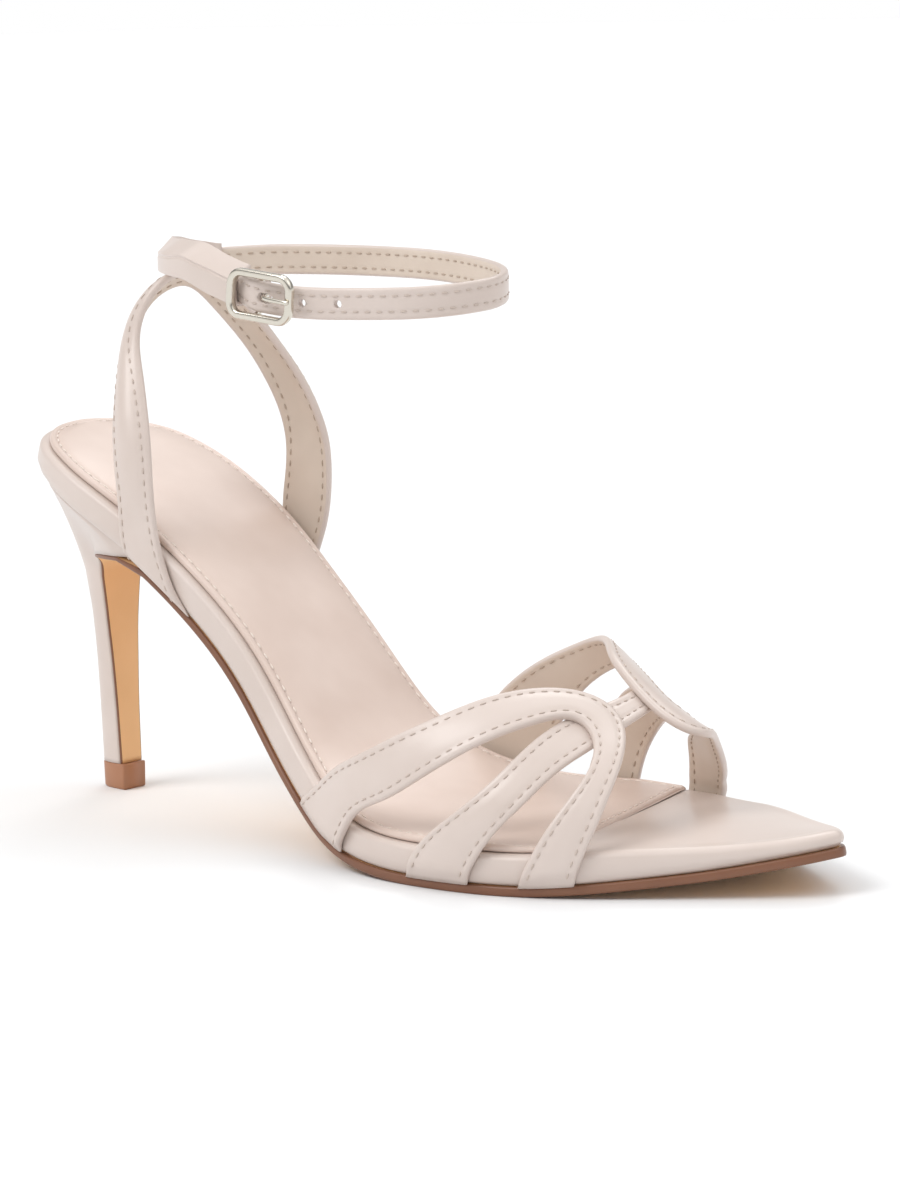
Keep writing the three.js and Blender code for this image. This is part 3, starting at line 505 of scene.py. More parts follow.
def linear(code):
    """A colour socket's value from an sRGB hex code."""
    parts = [int(code[i : i + 2], 16) / 255 for i in (1, 3, 5)]
    return (*(c / 12.92 if c <= 0.04045 else ((c + 0.055) / 1.055) ** 2.4 for c in parts), 1)


def node(tree, kind, settings=None, links=None, **values):
    """Adds a node with its settings, its sockets' values and its links."""
    made = tree.nodes.new(kind)
    for key, value in (settings or {}).items():
        setattr(made, key, value)
    for key, value in values.items():
        made.inputs[key.replace("_", " ")].default_value = value
    for key, source in (links or {}).items():
        tree.links.new(source, made.inputs[key])
    return made


def surface(name):
    """A new material with its node tree and its shader."""
    material = bpy.data.materials.new(name)
    material.use_nodes = True
    return material, material.node_tree, material.node_tree.nodes["Principled BSDF"]


def object_place(tree):
    return node(tree, "ShaderNodeTexCoord").outputs["Object"]


def colours(tree, source, stops):
    """A ramp of colours over a value. stops lists (value, colour)."""
    ramp = node(tree, "ShaderNodeValToRGB", links={"Fac": source})
    while len(ramp.color_ramp.elements) < len(stops):
        ramp.color_ramp.elements.new(0.5)
    for element, (value, colour) in zip(ramp.color_ramp.elements, stops):
        element.position = value
        element.color = colour
    return ramp.outputs["Color"]


def leather(name, light, dark, grain, bump, roughness, coat, sheen=0.0):
    """Finished leather: soft colour clouds about 25 mm wide, pores as bump, grain being their spacing in
    millimetres, and a roughness that follows the clouds."""
    material, tree, shader = surface(name)
    place = {"Vector": object_place(tree)}
    clouds = node(tree, "ShaderNodeTexNoise", links=place, Scale=38, Detail=3, Roughness=0.55).outputs["Fac"]
    tint = colours(tree, clouds, ((0.32, linear(dark)), (0.68, linear(light))))
    tree.links.new(tint, shader.inputs["Base Color"])
    pores = node(tree, "ShaderNodeTexVoronoi", {"feature": "DISTANCE_TO_EDGE"}, place, Scale=1000 / grain)
    fine = node(tree, "ShaderNodeTexNoise", links=place, Scale=2600 / grain, Detail=4, Roughness=0.6)
    parts = {"A": pores.outputs["Distance"], "B": fine.outputs["Fac"]}
    both = node(tree, "ShaderNodeMix", {"data_type": "FLOAT"}, parts, Factor=0.72).outputs[0]
    relief = node(tree, "ShaderNodeBump", links={"Height": both}, Strength=bump, Distance=0.0001)
    tree.links.new(relief.outputs["Normal"], shader.inputs["Normal"])
    range_ends = {"To_Min": roughness - 0.05, "To_Max": roughness + 0.07}
    shine = node(tree, "ShaderNodeMapRange", links={"Value": clouds}, **range_ends)
    tree.links.new(shine.outputs["Result"], shader.inputs["Roughness"])
    shader.inputs["IOR"].default_value = 1.48
    shader.inputs["Coat Weight"].default_value = coat
    shader.inputs["Coat Roughness"].default_value = 0.28
    shader.inputs["Sheen Weight"].default_value = sheen
    return material


def polished_nickel():
    """Nickel plating over a cast frame: a pale warm mirror with faint polishing marks."""
    material, tree, shader = surface("polished_nickel")
    marks = node(tree, "ShaderNodeTexNoise", links={"Vector": object_place(tree)}, Scale=900, Detail=3)
    shine = node(tree, "ShaderNodeMapRange", links={"Value": marks.outputs["Fac"]}, To_Min=0.08, To_Max=0.18)
    tree.links.new(shine.outputs["Result"], shader.inputs["Roughness"])
    shader.inputs["Base Color"].default_value = linear("#D6D0C4")
    shader.inputs["Metallic"].default_value = 1
    return material


def thread(name, light, dark):
    """Twisted polyester sewing thread: a satin strand with a twist across it, drawn coarse enough to show."""
    material, tree, shader = surface(name)
    twist = node(tree, "ShaderNodeTexNoise", links={"Vector": object_place(tree)}, Scale=2500, Detail=1)
    tint = colours(tree, twist.outputs["Fac"], ((0, linear(dark)), (1, linear(light))))
    tree.links.new(tint, shader.inputs["Base Color"])
    shader.inputs["Roughness"].default_value = 0.5
    shader.inputs["Sheen Weight"].default_value = 0.2
    return material


# Smooth pale calf with a satin top coat, its pores 0.5 mm apart
upper_leather = leather("blush_calf", "#D6C8C0", "#CFC0B7", 0.5, 0.12, 0.36, 0.18)
# Thin pigskin lining, a shade darker and flatter, its pores drawn at 0.7 mm so that they show
lining_leather = leather("tan_lining", "#DDCFC1", "#D1C1B2", 0.7, 0.25, 0.5, 0.05, sheen=0.15)
# Padded sock in taupe lining leather with a soft shine, its pores 0.6 mm apart
sock_leather = leather("taupe_sock", "#DCC9BE", "#D2BDB1", 0.6, 0.14, 0.38, 0.12, sheen=0.1)
# Stained and waxed edge of the leather sole, dark brown and softly shiny
sole_edge = leather("waxed_sole_edge", "#83583F", "#744A34", 0.5, 0.2, 0.42, 0.15)
# Vegetable-tanned sole face, tan and slightly shiny
sole_face = leather("tan_sole_face", "#EEC08C", "#E5B680", 0.8, 0.15, 0.45, 0.1)
# Hard moulded rubber lift, brown and matt
tip_rubber = leather("brown_lift_rubber", "#AD7A5A", "#A06C4D", 0.3, 0.1, 0.42, 0.1)
nickel = polished_nickel()
# Polyester thread: tone on tone on the straps, paler on the sock, darker on the lining
upper_thread = thread("blush_thread", "#CDBEB3", "#BAAA9E")
sock_thread = thread("pale_thread", "#F4EAE1", "#DCCCC0")
lining_thread = thread("tan_thread", "#C2AF9E", "#A79482")


# Stitches


def stitch_tree():
    """Geometry Nodes that lay one short thread on each step of a path, its flat side on the leather."""
    tree = bpy.data.node_groups.new("stitch_row", "GeometryNodeTree")
    sockets = (
        ("Path", "INPUT", "NodeSocketGeometry"),
        ("Pitch", "INPUT", "NodeSocketFloat"),
        ("Length", "INPUT", "NodeSocketFloat"),
        ("Thickness", "INPUT", "NodeSocketFloat"),
        ("Thread", "INPUT", "NodeSocketMaterial"),
        ("Stitches", "OUTPUT", "NodeSocketGeometry"),
    )
    for name, way, kind in sockets:
        tree.interface.new_socket(name, in_out=way, socket_type=kind)
    given = node(tree, "NodeGroupInput").outputs

    def step(kind, output, links=None, settings=None, **values):
        return node(tree, kind, settings, links, **values).outputs[output]

    path = step("GeometryNodeMeshToCurve", "Curve", {"Mesh": given["Path"]})
    paces = {"Curve": path, "Length": given["Pitch"]}
    spaced = step("GeometryNodeResampleCurve", "Curve", paces, {"mode": "LENGTH"})
    tangent = step("GeometryNodeInputTangent", "Tangent")
    along = step("FunctionNodeAlignRotationToVector", "Rotation", {"Vector": tangent}, {"axis": "X"})
    vector = {"data_type": "FLOAT_VECTOR"}
    facing = step("GeometryNodeInputNamedAttribute", "Attribute", None, vector, Name="facing")
    rolled = {"Rotation": along, "Vector": facing}
    turned = step("FunctionNodeAlignRotationToVector", "Rotation", rolled, {"axis": "Z", "pivot_axis": "X"})
    strand = step("GeometryNodeMeshUVSphere", "Mesh", Segments=8, Rings=5, Radius=0.5)
    width = given["Thickness"]
    size = step("ShaderNodeCombineXYZ", 0, {"X": given["Length"], "Y": width, "Z": width})
    parts = {"Points": spaced, "Instance": strand, "Rotation": turned, "Scale": size}
    laid = step("GeometryNodeInstanceOnPoints", "Instances", parts)
    real = step("GeometryNodeRealizeInstances", "Geometry", {"Geometry": laid})
    rounded = step("GeometryNodeSetShadeSmooth", "Geometry", {"Geometry": real})
    dyed = step("GeometryNodeSetMaterial", "Geometry", {"Geometry": rounded, "Material": given["Thread"]})
    node(tree, "NodeGroupOutput", links={"Stitches": dyed})
    return tree


stitch_row = stitch_tree()


def stitches(name, rows, material, pitch=STITCH_PITCH, length=STITCH_LENGTH):
    """One piece of thread for all the rows; a row is a list of (point, normal) in the shoe's millimetres."""
    points, edges, facing = [], [], []
    for row in rows:
        start = len(points)
        points += [metres(p) for p, _ in row]
        facing += [tuple(n) for _, n in row]
        edges += [(start + i, start + i + 1) for i in range(len(row) - 1)]
    mesh = bpy.data.meshes.new(name + "_path")
    mesh.from_pydata(points, edges, [])
    attribute = mesh.attributes.new("facing", "FLOAT_VECTOR", "POINT")
    for i, normal in enumerate(facing):
        attribute.data[i].vector = normal
    path = placed(name + "_path", mesh)
    modifier = path.modifiers.new("stitch_row", "NODES")
    modifier.node_group = stitch_row
    values = {"Pitch": pitch / 1000, "Length": length / 1000, "Thread": material}
    values["Thickness"] = STITCH_THICKNESS / 1000
    for item in stitch_row.interface.items_tree:
        if item.name in values:
            modifier[item.identifier] = values[item.name]
    made = bpy.data.meshes.new_from_object(path.evaluated_get(bpy.context.evaluated_depsgraph_get()))
    bpy.data.objects.remove(path)
    made.name = name
    piece = placed(name, made)
    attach(piece, "root")
    return piece


# Straps


def strap_section(width, wall):
    """Points round a folded strap's section, from its first edge over the outer face and back, as (inset,
    height, finish). An inset runs from the first edge; finish 1 is lining."""
    radius = wall / 2
    turns = span(-1.25, 1.25, 6)
    edge_round = [(0.85 * radius * (1 - math.cos(a)), radius * (1 + math.sin(a))) for a in turns]
    groove = (STITCH_INSET - STITCH_CHANNEL, STITCH_INSET, STITCH_INSET + STITCH_CHANNEL)
    outer = list(zip(groove, (wall + 0.06, wall - 0.13, wall + 0.04)))
    inner = list(zip(groove, (0, 0.1, 0)))
    leather_face = edge_round + outer + [(width * t, wall + 0.05) for t in (0.4, 0.5, 0.6)]
    leather_face += [(width - s, h) for s, h in reversed(edge_round + outer)]
    lining_face = [(width - s, h) for s, h in inner] + [(width * t, 0) for t in (0.6, 0.5, 0.4)]
    lining_face += reversed(inner)
    return [(s, h, 0) for s, h in leather_face] + [(s, h, 1) for s, h in lining_face]


def ironed(grid, spread):
    """Evens out the rows of a grid along its length, both ends kept. spread is in rows."""

    def blurred(rows):
        for _ in range(max(round(2 * spread * spread), 1)):
            middle = (rows[:-2] + 2 * rows[1:-1] + rows[2:]) / 4
            rows = numpy.concatenate((rows[:1], middle, rows[-1:]))
        return rows

    soft = blurred(grid)
    return soft + blurred(grid - soft)


def sheet(drawn, count, reach):
    """A strap's inner face as a smooth grid. drawn(step, across) is its sketched point and reach the length
    over which waves are evened out. Gives face(step, across, offset), the offset square to the face."""
    columns = 12
    grid = numpy.array([[drawn(s, a) for a in span(0, 1, columns)] for s in span(0, 1, 2 * count)])
    middle = grid[:, columns // 2]
    run = numpy.concatenate(([0], numpy.cumsum(numpy.linalg.norm(numpy.diff(middle, axis=0), axis=1))))
    even = numpy.linspace(0, run[-1], count + 1)
    flat = grid.reshape(len(grid), -1)
    flat = numpy.stack([numpy.interp(even, run, flat[:, i]) for i in range(flat.shape[1])], axis=1)
    grid = flat.reshape(count + 1, columns + 1, 3)
    row = run[-1] / count
    grid = ironed(settled(ironed(grid, reach / row), row), STRAP_SPREAD / row)
    normal = numpy.cross(numpy.gradient(grid, axis=1), numpy.gradient(grid, axis=0))
    normal /= numpy.linalg.norm(normal, axis=2)[:, :, None]
    if (normal * (grid - grid.mean(axis=(0, 1)))).sum() < 0:
        normal = -normal

    def at(values, i, j):
        a, b = min(int(i), count - 1), min(int(j), columns - 1)
        u, v = i - a, j - b
        near = values[a, b] * (1 - v) + values[a, b + 1] * v
        far = values[a + 1, b] * (1 - v) + values[a + 1, b + 1] * v
        return Vector(near * (1 - u) + far * u)

    def face(step, across, offset):
        i, j = step * count, min(max(across, 0), 1) * columns
        thin = mix(0.3, 1, smooth(min(step, 1 - step) * run[-1] / FOOT_TAPER))
        return at(grid, i, j) + at(normal, i, j).normalized() * offset * thin

    return face


def strap(name, face, steps, wall):
    """A folded strap: face(step, across, offset) gives a point of it."""
    rings = []
    for step in span(0, 1, steps):
        width = (face(step, 1, 0) - face(step, 0, 0)).length
        section = strap_section(width, wall)
        rings.append([face(step, s / width, h) for s, h, _ in section])
    finish = [f for _, _, f in section]
    count = len(finish)
    columns = [1 if finish[i] or finish[(i + 1) % count] else 0 for i in range(count)]
    return skin(name, rings, [upper_leather, lining_leather], columns)


def strap_stitches(name, face, steps, wall, start, end):
    """Stitch rows beside both edges, on the outer face and on the lining."""
    outer, inner = [], []
    for far in (False, True):
        rows = ([], [])
        for step in span(start, end, steps):
            width = (face(step, 1, 0) - face(step, 0, 0)).length
            across = STITCH_INSET / width
            across = 1 - across if far else across
            low, high = face(step, across, 0), face(step, across, wall)
            normal = (high - low).normalized()
            rows[0].append((high - normal * 0.02, normal))
            rows[1].append((low + normal * 0.02, -normal))
        outer.append(rows[0])
        inner.append(rows[1])
    return (
        stitches(name + "_stitches", outer, upper_thread),
        stitches(name + "_lining_stitches", inner, lining_thread),
    )


def last_base(x, turn):
    """The inner face of a forefoot strap: turn 0 is the sole's outer edge and 1 its inner edge."""
    side = LATERAL if turn < 0.5 else MEDIAL
    reach = abs(edge_y(x, side)) + FIT_GAP
    low = min(turn, 1 - turn)
    bend = footbed_top(x)
    if low < FOOT_UPRIGHT:
        return deck(x, side * reach, mix(OUTSOLE_THICKNESS, bend, low / FOOT_UPRIGHT))
    angle = math.pi * (turn - FOOT_UPRIGHT) / (1 - 2 * FOOT_UPRIGHT)
    fall = mix(OUTER_FALL, last_fall(x / SHOE_REACH), smooth((turn - 0.3) / 0.5))
    across = abs(math.cos(angle)) ** fall
    up = max(math.sin(angle), 0) ** fall
    y = side * reach * across + RIDGE_SHIFT * math.sin(angle) ** 2
    top = VAMP_RISE * last_rise(x / SHOE_REACH)
    return deck(x, y, bend + (top - bend) * up)


def last_point(x, turn, offset):
    """A point beside the last's surface, the offset square to it."""
    low, high = max(turn - 0.004, 0), min(turn + 0.004, 1)
    around = last_base(x, high) - last_base(x, low)
    along = last_base(x + 0.5, turn) - last_base(x - 0.5, turn)
    return last_base(x, turn) - around.cross(along).normalized() * offset


def forefoot_face(rows, lift):
    """A forefoot strap's sheet from its table, its middle lifted off the last to lie over another strap."""
    outer = through([(row[0] * SHOE_REACH, row[1], 0) for row in rows], even=True)
    inner = through([(row[2] * SHOE_REACH, row[3], 0) for row in rows], even=True)

    def drawn(step, across):
        place = outer(step).lerp(inner(step), across)
        turn = min(max(place.y, 0), 1)
        raised = lift * smooth((min(turn, 1 - turn) - 0.1) / 0.18)
        return last_point(place.x, turn, raised)

    return sheet(drawn, 200, FOREFOOT_EVEN)


def settled(grid, row):
    """Keeps the two ends of a strap outside the footbed and draws them in under it."""
    grid = grid.copy()
    count = len(grid) - 1
    near = math.ceil(SETTLED_REACH / row)
    for i in list(range(near)) + list(range(count - near + 1, count + 1)):
        for point in grid[i]:
            x, n = deck_place(Vector(point))
            if n > footbed_top(x) + 1.5:
                continue
            side = LATERAL if point[1] < 0 else MEDIAL
            drawn_in = lower_tuck(x) * (1 - smooth((n - OUTSOLE_THICKNESS) / 3))
            clear = abs(edge_y(x, side)) + FIT_GAP - drawn_in
            point[1] = side * clear if drawn_in else side * max(abs(point[1]), clear)
    return grid


def forefoot_straps():
    pieces = []
    for name, rows, wall, lift, steps in (
        ("outer_loop_strap", OUTER_LOOP, STRAP_WALL, CROSS_LIFT, 120),
        ("inner_loop_strap", INNER_LOOP, STRAP_WALL, CROSS_LIFT, 130),
        ("cross_strap", CROSS_STRAP, CROSS_WALL, 0, 100),
    ):
        face = forefoot_face(rows, lift)
        pieces.append(strap(name, face, steps, wall))
        pieces += strap_stitches(name, face, 2 * steps, wall, 0.025, 0.975)
    for piece in pieces:
        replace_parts(piece, "vamp_straps")


# Ankle ring

ring_height = monotone(RING["angle"], RING["height"])


def ring(angle, out, up):
    """Angle 0 is at the front, 90 at the inner side, 180 at the back and 270 at the outer side."""
    c, s = math.cos(math.radians(angle)), math.sin(math.radians(angle))
    outward = Vector((c / ANKLE_HALF_LENGTH, s / ANKLE_HALF_WIDTH)).normalized()
    x = ANKLE_HALF_LENGTH * c + out * outward.x
    y = ANKLE_HALF_WIDTH * s + out * outward.y
    return Vector((ANKLE_CENTRE + x, y, ANKLE_HEIGHT * ring_height(angle % 360) + up))


SINGLE_LAYER = ANKLE_STRAP_THICKNESS + SLEEVE_ROOM
DOUBLE_LAYER = 2 * ANKLE_STRAP_THICKNESS + FIT_GAP + SLEEVE_ROOM


def sleeve_layers(angle):
    """Room for the ankle strap in the sleeve: one layer at the back, two beside the buckle."""
    return mix(SINGLE_LAYER, DOUBLE_LAYER, smooth((angle - 205) / 30))


def heel_strap_face():
    """The heel strap's sheet: its two edge tables with a foot added at each end, bowed between them."""
    def edge_points(end, rows):
        def foot(side, sizes):
            x = sizes[end]
            return deck(x, side * (abs(edge_y(x, side)) + FIT_GAP), OUTSOLE_THICKNESS)

        return [foot(LATERAL, OUTER_FOOT)] + rows + [foot(MEDIAL, INNER_FOOT)]

    rear = through(edge_points("rear", HEEL_STRAP_REAR))
    front = through(edge_points("front", HEEL_STRAP_FRONT))

    def drawn(step, across):
        ahead, behind = min(step + 0.006, 1), max(step - 0.006, 0)
        along = rear(ahead) + front(ahead) - rear(behind) - front(behind)
        away = (front(step) - rear(step)).cross(along).normalized()
        bow = QUARTER_BOW * smooth((min(step, 1 - step) - 0.12) / 0.12)
        bow *= 0.5 - 0.3 * math.cos(4 * math.pi * step)
        return rear(step).lerp(front(step), across) + away * bow * 4 * across * (1 - across)

    return sheet(drawn, 300, HEEL_STRAP_EVEN)


def heel_straps():
    face = heel_strap_face()
    pieces = [strap("heel_strap", face, 170, STRAP_WALL)]
    pieces += strap_stitches("heel_strap", face, 300, STRAP_WALL, 0.02, 0.98)
    pieces.append(sleeve())
    for piece in pieces:
        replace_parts(piece, "quarter_straps")


def rounded_corners(corners, radius):
    """A polygon's outline with each corner rounded off."""
    points = []
    for i, corner in enumerate(corners):
        corner = Vector(corner)
        before, after = Vector(corners[i - 1]), Vector(corners[(i + 1) % len(corners)])
        start = corner + (before - corner).normalized() * radius
        end = corner + (after - corner).normalized() * radius
        for t in span(0, 1, 5):
            points.append(start * (1 - t) ** 2 + corner * 2 * t * (1 - t) + end * t * t)
    return points


def sleeve():
    """The folded loop that the ankle strap runs through: an upright outer face, a fold along its top and a
    band that slopes back from the fold. It is open at both ends."""
    walls = []
    for angle in span(SLEEVE_FAR_END, SLEEVE_NEAR_END, 80):
        layers = sleeve_layers(angle)
        ahead = smooth((angle - 200) / 60)
        fold = mix(*SLEEVE_FOLD, ahead) + 0.1 * math.sin(angle * 0.45)
        crest = mix(*SLEEVE_CREST, ahead) + 0.1 * math.sin(angle * 0.31)
        low = -mix(*SLEEVE_DROP, max(smooth((angle - 220) / 38), smooth((200 - angle) / 30)))
        face = layers + SLEEVE_WALL
        outer = [
            (face, low),
            (face, fold - 0.9),
            (face - 0.35, fold - 0.45),
            (face, fold),
            (-SLEEVE_ROOM, crest),
            (-SLEEVE_ROOM - SLEEVE_WALL, low),
        ]
        inner = [
            (layers, low + 0.9),
            (layers, fold - 1.2),
            (layers - 0.1, fold - 0.9),
            (layers - 0.2, fold - 0.6),
            (0, crest - 1.2),
            (-SLEEVE_ROOM, low + 0.9),
        ]
        outside = [ring(angle, *p) for p in rounded_corners(outer, 0.28)]
        walls.append((outside, [ring(angle, *p) for p in rounded_corners(inner, 0.12)]))
    rings = [outside for outside, _ in walls] + [inside for _, inside in reversed(walls)]
    return skin("ankle_sleeve", rings, [upper_leather], closed=True)


# Ankle strap and buckle, with levels counted out from the ankle strap's inner face

BAR_INNER = ANKLE_STRAP_THICKNESS + FIT_GAP
STRAP_OVER_BAR = BAR_INNER + BAR_WIDTH + FIT_GAP
FRAME_INNER = STRAP_OVER_BAR + ANKLE_STRAP_THICKNESS - 0.4


def degrees_per(distance):
    """Degrees of the ring for a distance along the ankle's side."""
    return math.degrees(distance / ANKLE_HALF_LENGTH)


BAR_ANGLE = BUCKLE_ANGLE - degrees_per(BAR_SETBACK)
strap_lift = monotone(STRAP_LIFT["turn"], STRAP_LIFT["lift"])


def ankle_face(step, across, offset):
    """A point of the ankle strap. It runs from under the buckle's bar back through the sleeve, round the
    ankle, over the bar and on as a second layer in the sleeve, where both are drawn in to fit."""
    angle = mix(BAR_ANGLE + 1, BAR_ANGLE - 360 - STRAP_TAIL, step)
    inner = STRAP_OVER_BAR * max(strap_lift(BAR_ANGLE - 360 - angle), 0)
    place = angle % 360
    inside = smooth((place - SLEEVE_FAR_END - 1) / 6) * smooth((SLEEVE_NEAR_END + 2 - place) / 7)
    width = ANKLE_STRAP_WIDTH * mix(1, SLEEVE_SQUEEZE, inside)
    return ring(angle, inner + offset, width * (across - 0.5))


def strap_hole_cutter():
    """Round punches for the spare holes and a slot for the prong."""
    points, faces = [], []
    holes = [(PRONG_HOLE + slide * PRONG_SLOT, PRONG_WIDTH * 0.85) for slide in (-0.5, -0.25, 0, 0.25, 0.5)]
    holes += [(PRONG_HOLE + step * HOLE_PITCH, HOLE_RADIUS) for step in (1, 2)]
    made = []
    for distance, radius in holes:
        angle = BAR_ANGLE + degrees_per(distance)
        start, end = ring(angle, -3, 0), ring(angle, 9, 0)
        axis = (end - start).normalized()
        side = axis.orthogonal().normalized()
        other = axis.cross(side)
        turns = [2 * math.pi * i / 24 for i in range(24)]
        circle = [(side * math.cos(t) + other * math.sin(t)) * radius for t in turns]
        rounds = [[middle + c for c in circle] for middle in (start, end)]
        made.append(skin("punch", rounds, [upper_leather]))
    return made


def punched(piece, cutters):
    """Cuts the punches out of a strap and clears them away."""
    for cutter in cutters:
        cut = piece.modifiers.new("punch", "BOOLEAN")
        cut.operation = "DIFFERENCE"
        cut.solver = "EXACT"
        cut.object = cutter
    mesh = bpy.data.meshes.new_from_object(piece.evaluated_get(bpy.context.evaluated_depsgraph_get()))
    piece.modifiers.clear()
    piece.data = mesh
    for cutter in cutters:
        bpy.data.objects.remove(cutter)
    return piece


def ankle_strap():
    band = punched(strap("ankle_strap_band", ankle_face, 360, ANKLE_STRAP_THICKNESS), strap_hole_cutter())
    pieces = [band]
    pieces += strap_stitches("ankle_strap_band", ankle_face, 500, ANKLE_STRAP_THICKNESS, 0.02, 0.985)
    for piece in pieces:
        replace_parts(piece, "ankle_strap")


def on_strap():
    """Turns the buckle's own axes into the shoe's: X to the front, Y up the leg, Z out from the ring."""
    half = degrees_per(BUCKLE_LENGTH / 2)
    outward = (ring(BUCKLE_ANGLE, 1, 0) - ring(BUCKLE_ANGLE, 0, 0)).normalized()
    ahead, behind = ring(BUCKLE_ANGLE + half, 0, 0), ring(BUCKLE_ANGLE - half, 0, 0)
    forward = ahead - behind
    forward.z *= BUCKLE_LEVELLING
    forward.normalize()
    drop = ((ahead + behind) / 2).z - ring(BUCKLE_ANGLE, 0, 0).z
    up = outward.cross(forward).normalized()
    turn = Matrix((forward, up, forward.cross(up))).transposed()
    base = ring(BUCKLE_ANGLE, 0, drop / 2)
    return lambda x, y, z: turn @ Vector((x, y, z)) + base


def section_turns(sides, flat):
    """Points of a unit circle, flattened on its four sides when flat is below 1."""
    for k in range(sides):
        c, s = math.cos(2 * math.pi * k / sides), math.sin(2 * math.pi * k / sides)
        yield math.copysign(abs(c) ** flat, c), math.copysign(abs(s) ** flat, s)


def swept(name, path, radii, place, closed=False, sides=14, flat=1.0):
    """A nickel rod along a path in the buckle's axes. radii gives its half sizes (across, outwards) at a
    step."""
    count = len(path)
    rings = []
    for i, point in enumerate(path):
        before = path[i - 1] if closed or i else path[0]
        after = path[(i + 1) % count] if closed or i < count - 1 else path[-1]
        along = (Vector(after) - Vector(before)).normalized()
        across = Vector((0, 0, 1)).cross(along)
        across = across.normalized() if across.length > 0.05 else Vector((0, 1, 0))
        outwards = along.cross(across).normalized()
        a, b = radii(i / (count - 1))
        section = [across * a * c + outwards * b * s for c, s in section_turns(sides, flat)]
        rings.append([place(*(Vector(point) + p)) for p in section])
    return skin(name, rings, [nickel], closed=closed)


def buckle_frame(place):
    """The rounded rectangle of flattened wire, with its bar bent down behind the strap."""
    half_x = (BUCKLE_LENGTH - BUCKLE_WIRE) / 2
    half_y = (BUCKLE_HEIGHT - BUCKLE_WIRE) / 2
    radius = BUCKLE_CORNER - BUCKLE_WIRE / 2
    level = FRAME_INNER + BUCKLE_THICKNESS / 2
    outline = []
    for quarter, (sx, sy) in enumerate(((1, 1), (-1, 1), (-1, -1), (1, -1))):
        for a in span(0, math.pi / 2, 10):
            angle = a + quarter * math.pi / 2
            x = sx * (half_x - radius) + radius * math.cos(angle)
            y = sy * (half_y - radius) + radius * math.sin(angle)
            outline.append((x, y, level))
    wire = (BUCKLE_WIRE / 2 - 0.15, BUCKLE_THICKNESS / 2)
    frame_wire = swept(
        "buckle_wire", outline, lambda t: wire, place, closed=True, sides=32, flat=WIRE_FLATNESS
    )
    bar_level = BAR_INNER + BAR_WIDTH / 2
    half_bar = [(half_y, level), (half_y - 0.3, mix(level, bar_level, 0.6)), (half_y - 1.2, bar_level)]
    bar = [(-BAR_SETBACK, -y, z) for y, z in half_bar] + [(-BAR_SETBACK, y, z) for y, z in reversed(half_bar)]
    bar_path = [tuple(through(bar)(t)) for t in span(0, 1, 30)]
    rod = (BAR_WIDTH / 2, BAR_WIDTH / 2)
    for piece in (frame_wire, swept("buckle_bar", bar_path, lambda t: rod, place)):
        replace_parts(piece, "buckle_frame")


def buckle_pin(place):
    """The prong: from the bar through the strap's hole to rest on the frame, thinner to its rounded end."""
    root = BAR_WIDTH / 2 + FIT_GAP + PRONG_WIDTH / 2 - BAR_SETBACK
    hole = PRONG_HOLE - BAR_SETBACK
    top = FRAME_INNER + BUCKLE_THICKNESS
    reach = BUCKLE_LENGTH / 2 - BUCKLE_WIRE / 2
    rest = top + FIT_GAP + PRONG_WIDTH / 2
    places = [(root, BAR_INNER + 0.4), (hole - 0.4, STRAP_OVER_BAR + 0.6), (hole + 1.6, top + 0.1)]
    places += [(reach, rest), (reach + 1.2, rest - 0.1)]
    prong = through([(x, 0, z) for x, z in places])
    path = [tuple(prong(t)) for t in span(0, 1, 40)]

    def taper(t):
        end = 1 if t < 0.95 else math.sqrt(1 - ((t - 0.95) / 0.052) ** 2)
        width = PRONG_WIDTH / 2 * (1 - 0.25 * t) * end
        return width, width * 0.8

    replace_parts(swept("buckle_pin", path, taper, place), "buckle_prong")


# Sole pieces


def sole_section(x, sides, top, dome):
    """One section of the footbed: down its outer side, under it, up its inner side and over its top.
    sides lists (inset, height) from the top edge down; dome is how far the middle of the top rises."""
    points = [deck(*edge(x, LATERAL, inset), n) for inset, n in sides]
    points += [deck(*edge(x, MEDIAL, inset), n) for inset, n in reversed(sides)]
    inset = sides[0][0]
    start, end = edge(x, MEDIAL, inset), edge(x, LATERAL, inset)
    for t in span(0, 1, 14)[1:-1]:
        rise = dome * (1 - (2 * t - 1) ** 2)
        points.append(deck(mix(start[0], end[0], t), mix(start[1], end[1], t), top + rise))
    return points


def footbed():
    """The wrapped board: a soft rim, a side that draws in below, and a domed cover in front of the sock."""
    rings = []
    turns = span(0.15, math.pi / 2, 6)
    for x in sole_stations(180):
        top, base, tuck = footbed_top(x), sole_thickness(x), lower_tuck(x)
        depth = top - base
        toe = smooth((x - 150) / 50)
        soft = mix(*RIM_SOFTNESS, toe)
        rim = [(soft * (1 - math.sin(a)) + 0.02, top - soft * 0.75 * (1 - math.cos(a))) for a in turns]
        groove = [(soft + 1.0, top + 0.02), (soft + 0.35, top + 0.02)]
        side = [(0.0, base + 0.45 * depth), (0.35 * tuck, base + 0.24 * depth), (0.8 * tuck, base + 0.9)]
        side += [(tuck + 0.05, base + 0.6), (tuck + 0.5, base + 0.25)]
        under = [(tuck + 1.2, base), (tuck + 2.6, base)]
        width = abs(edge_y(x, LATERAL)) + abs(edge_y(x, MEDIAL))
        dome = TOE_DOME * toe * smooth(width / 60)
        rings.append(sole_section(x, groove + rim + side + under, top, dome))
    piece = skin("wrapped_footbed", rings, [upper_leather])
    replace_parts(piece, "footbed")


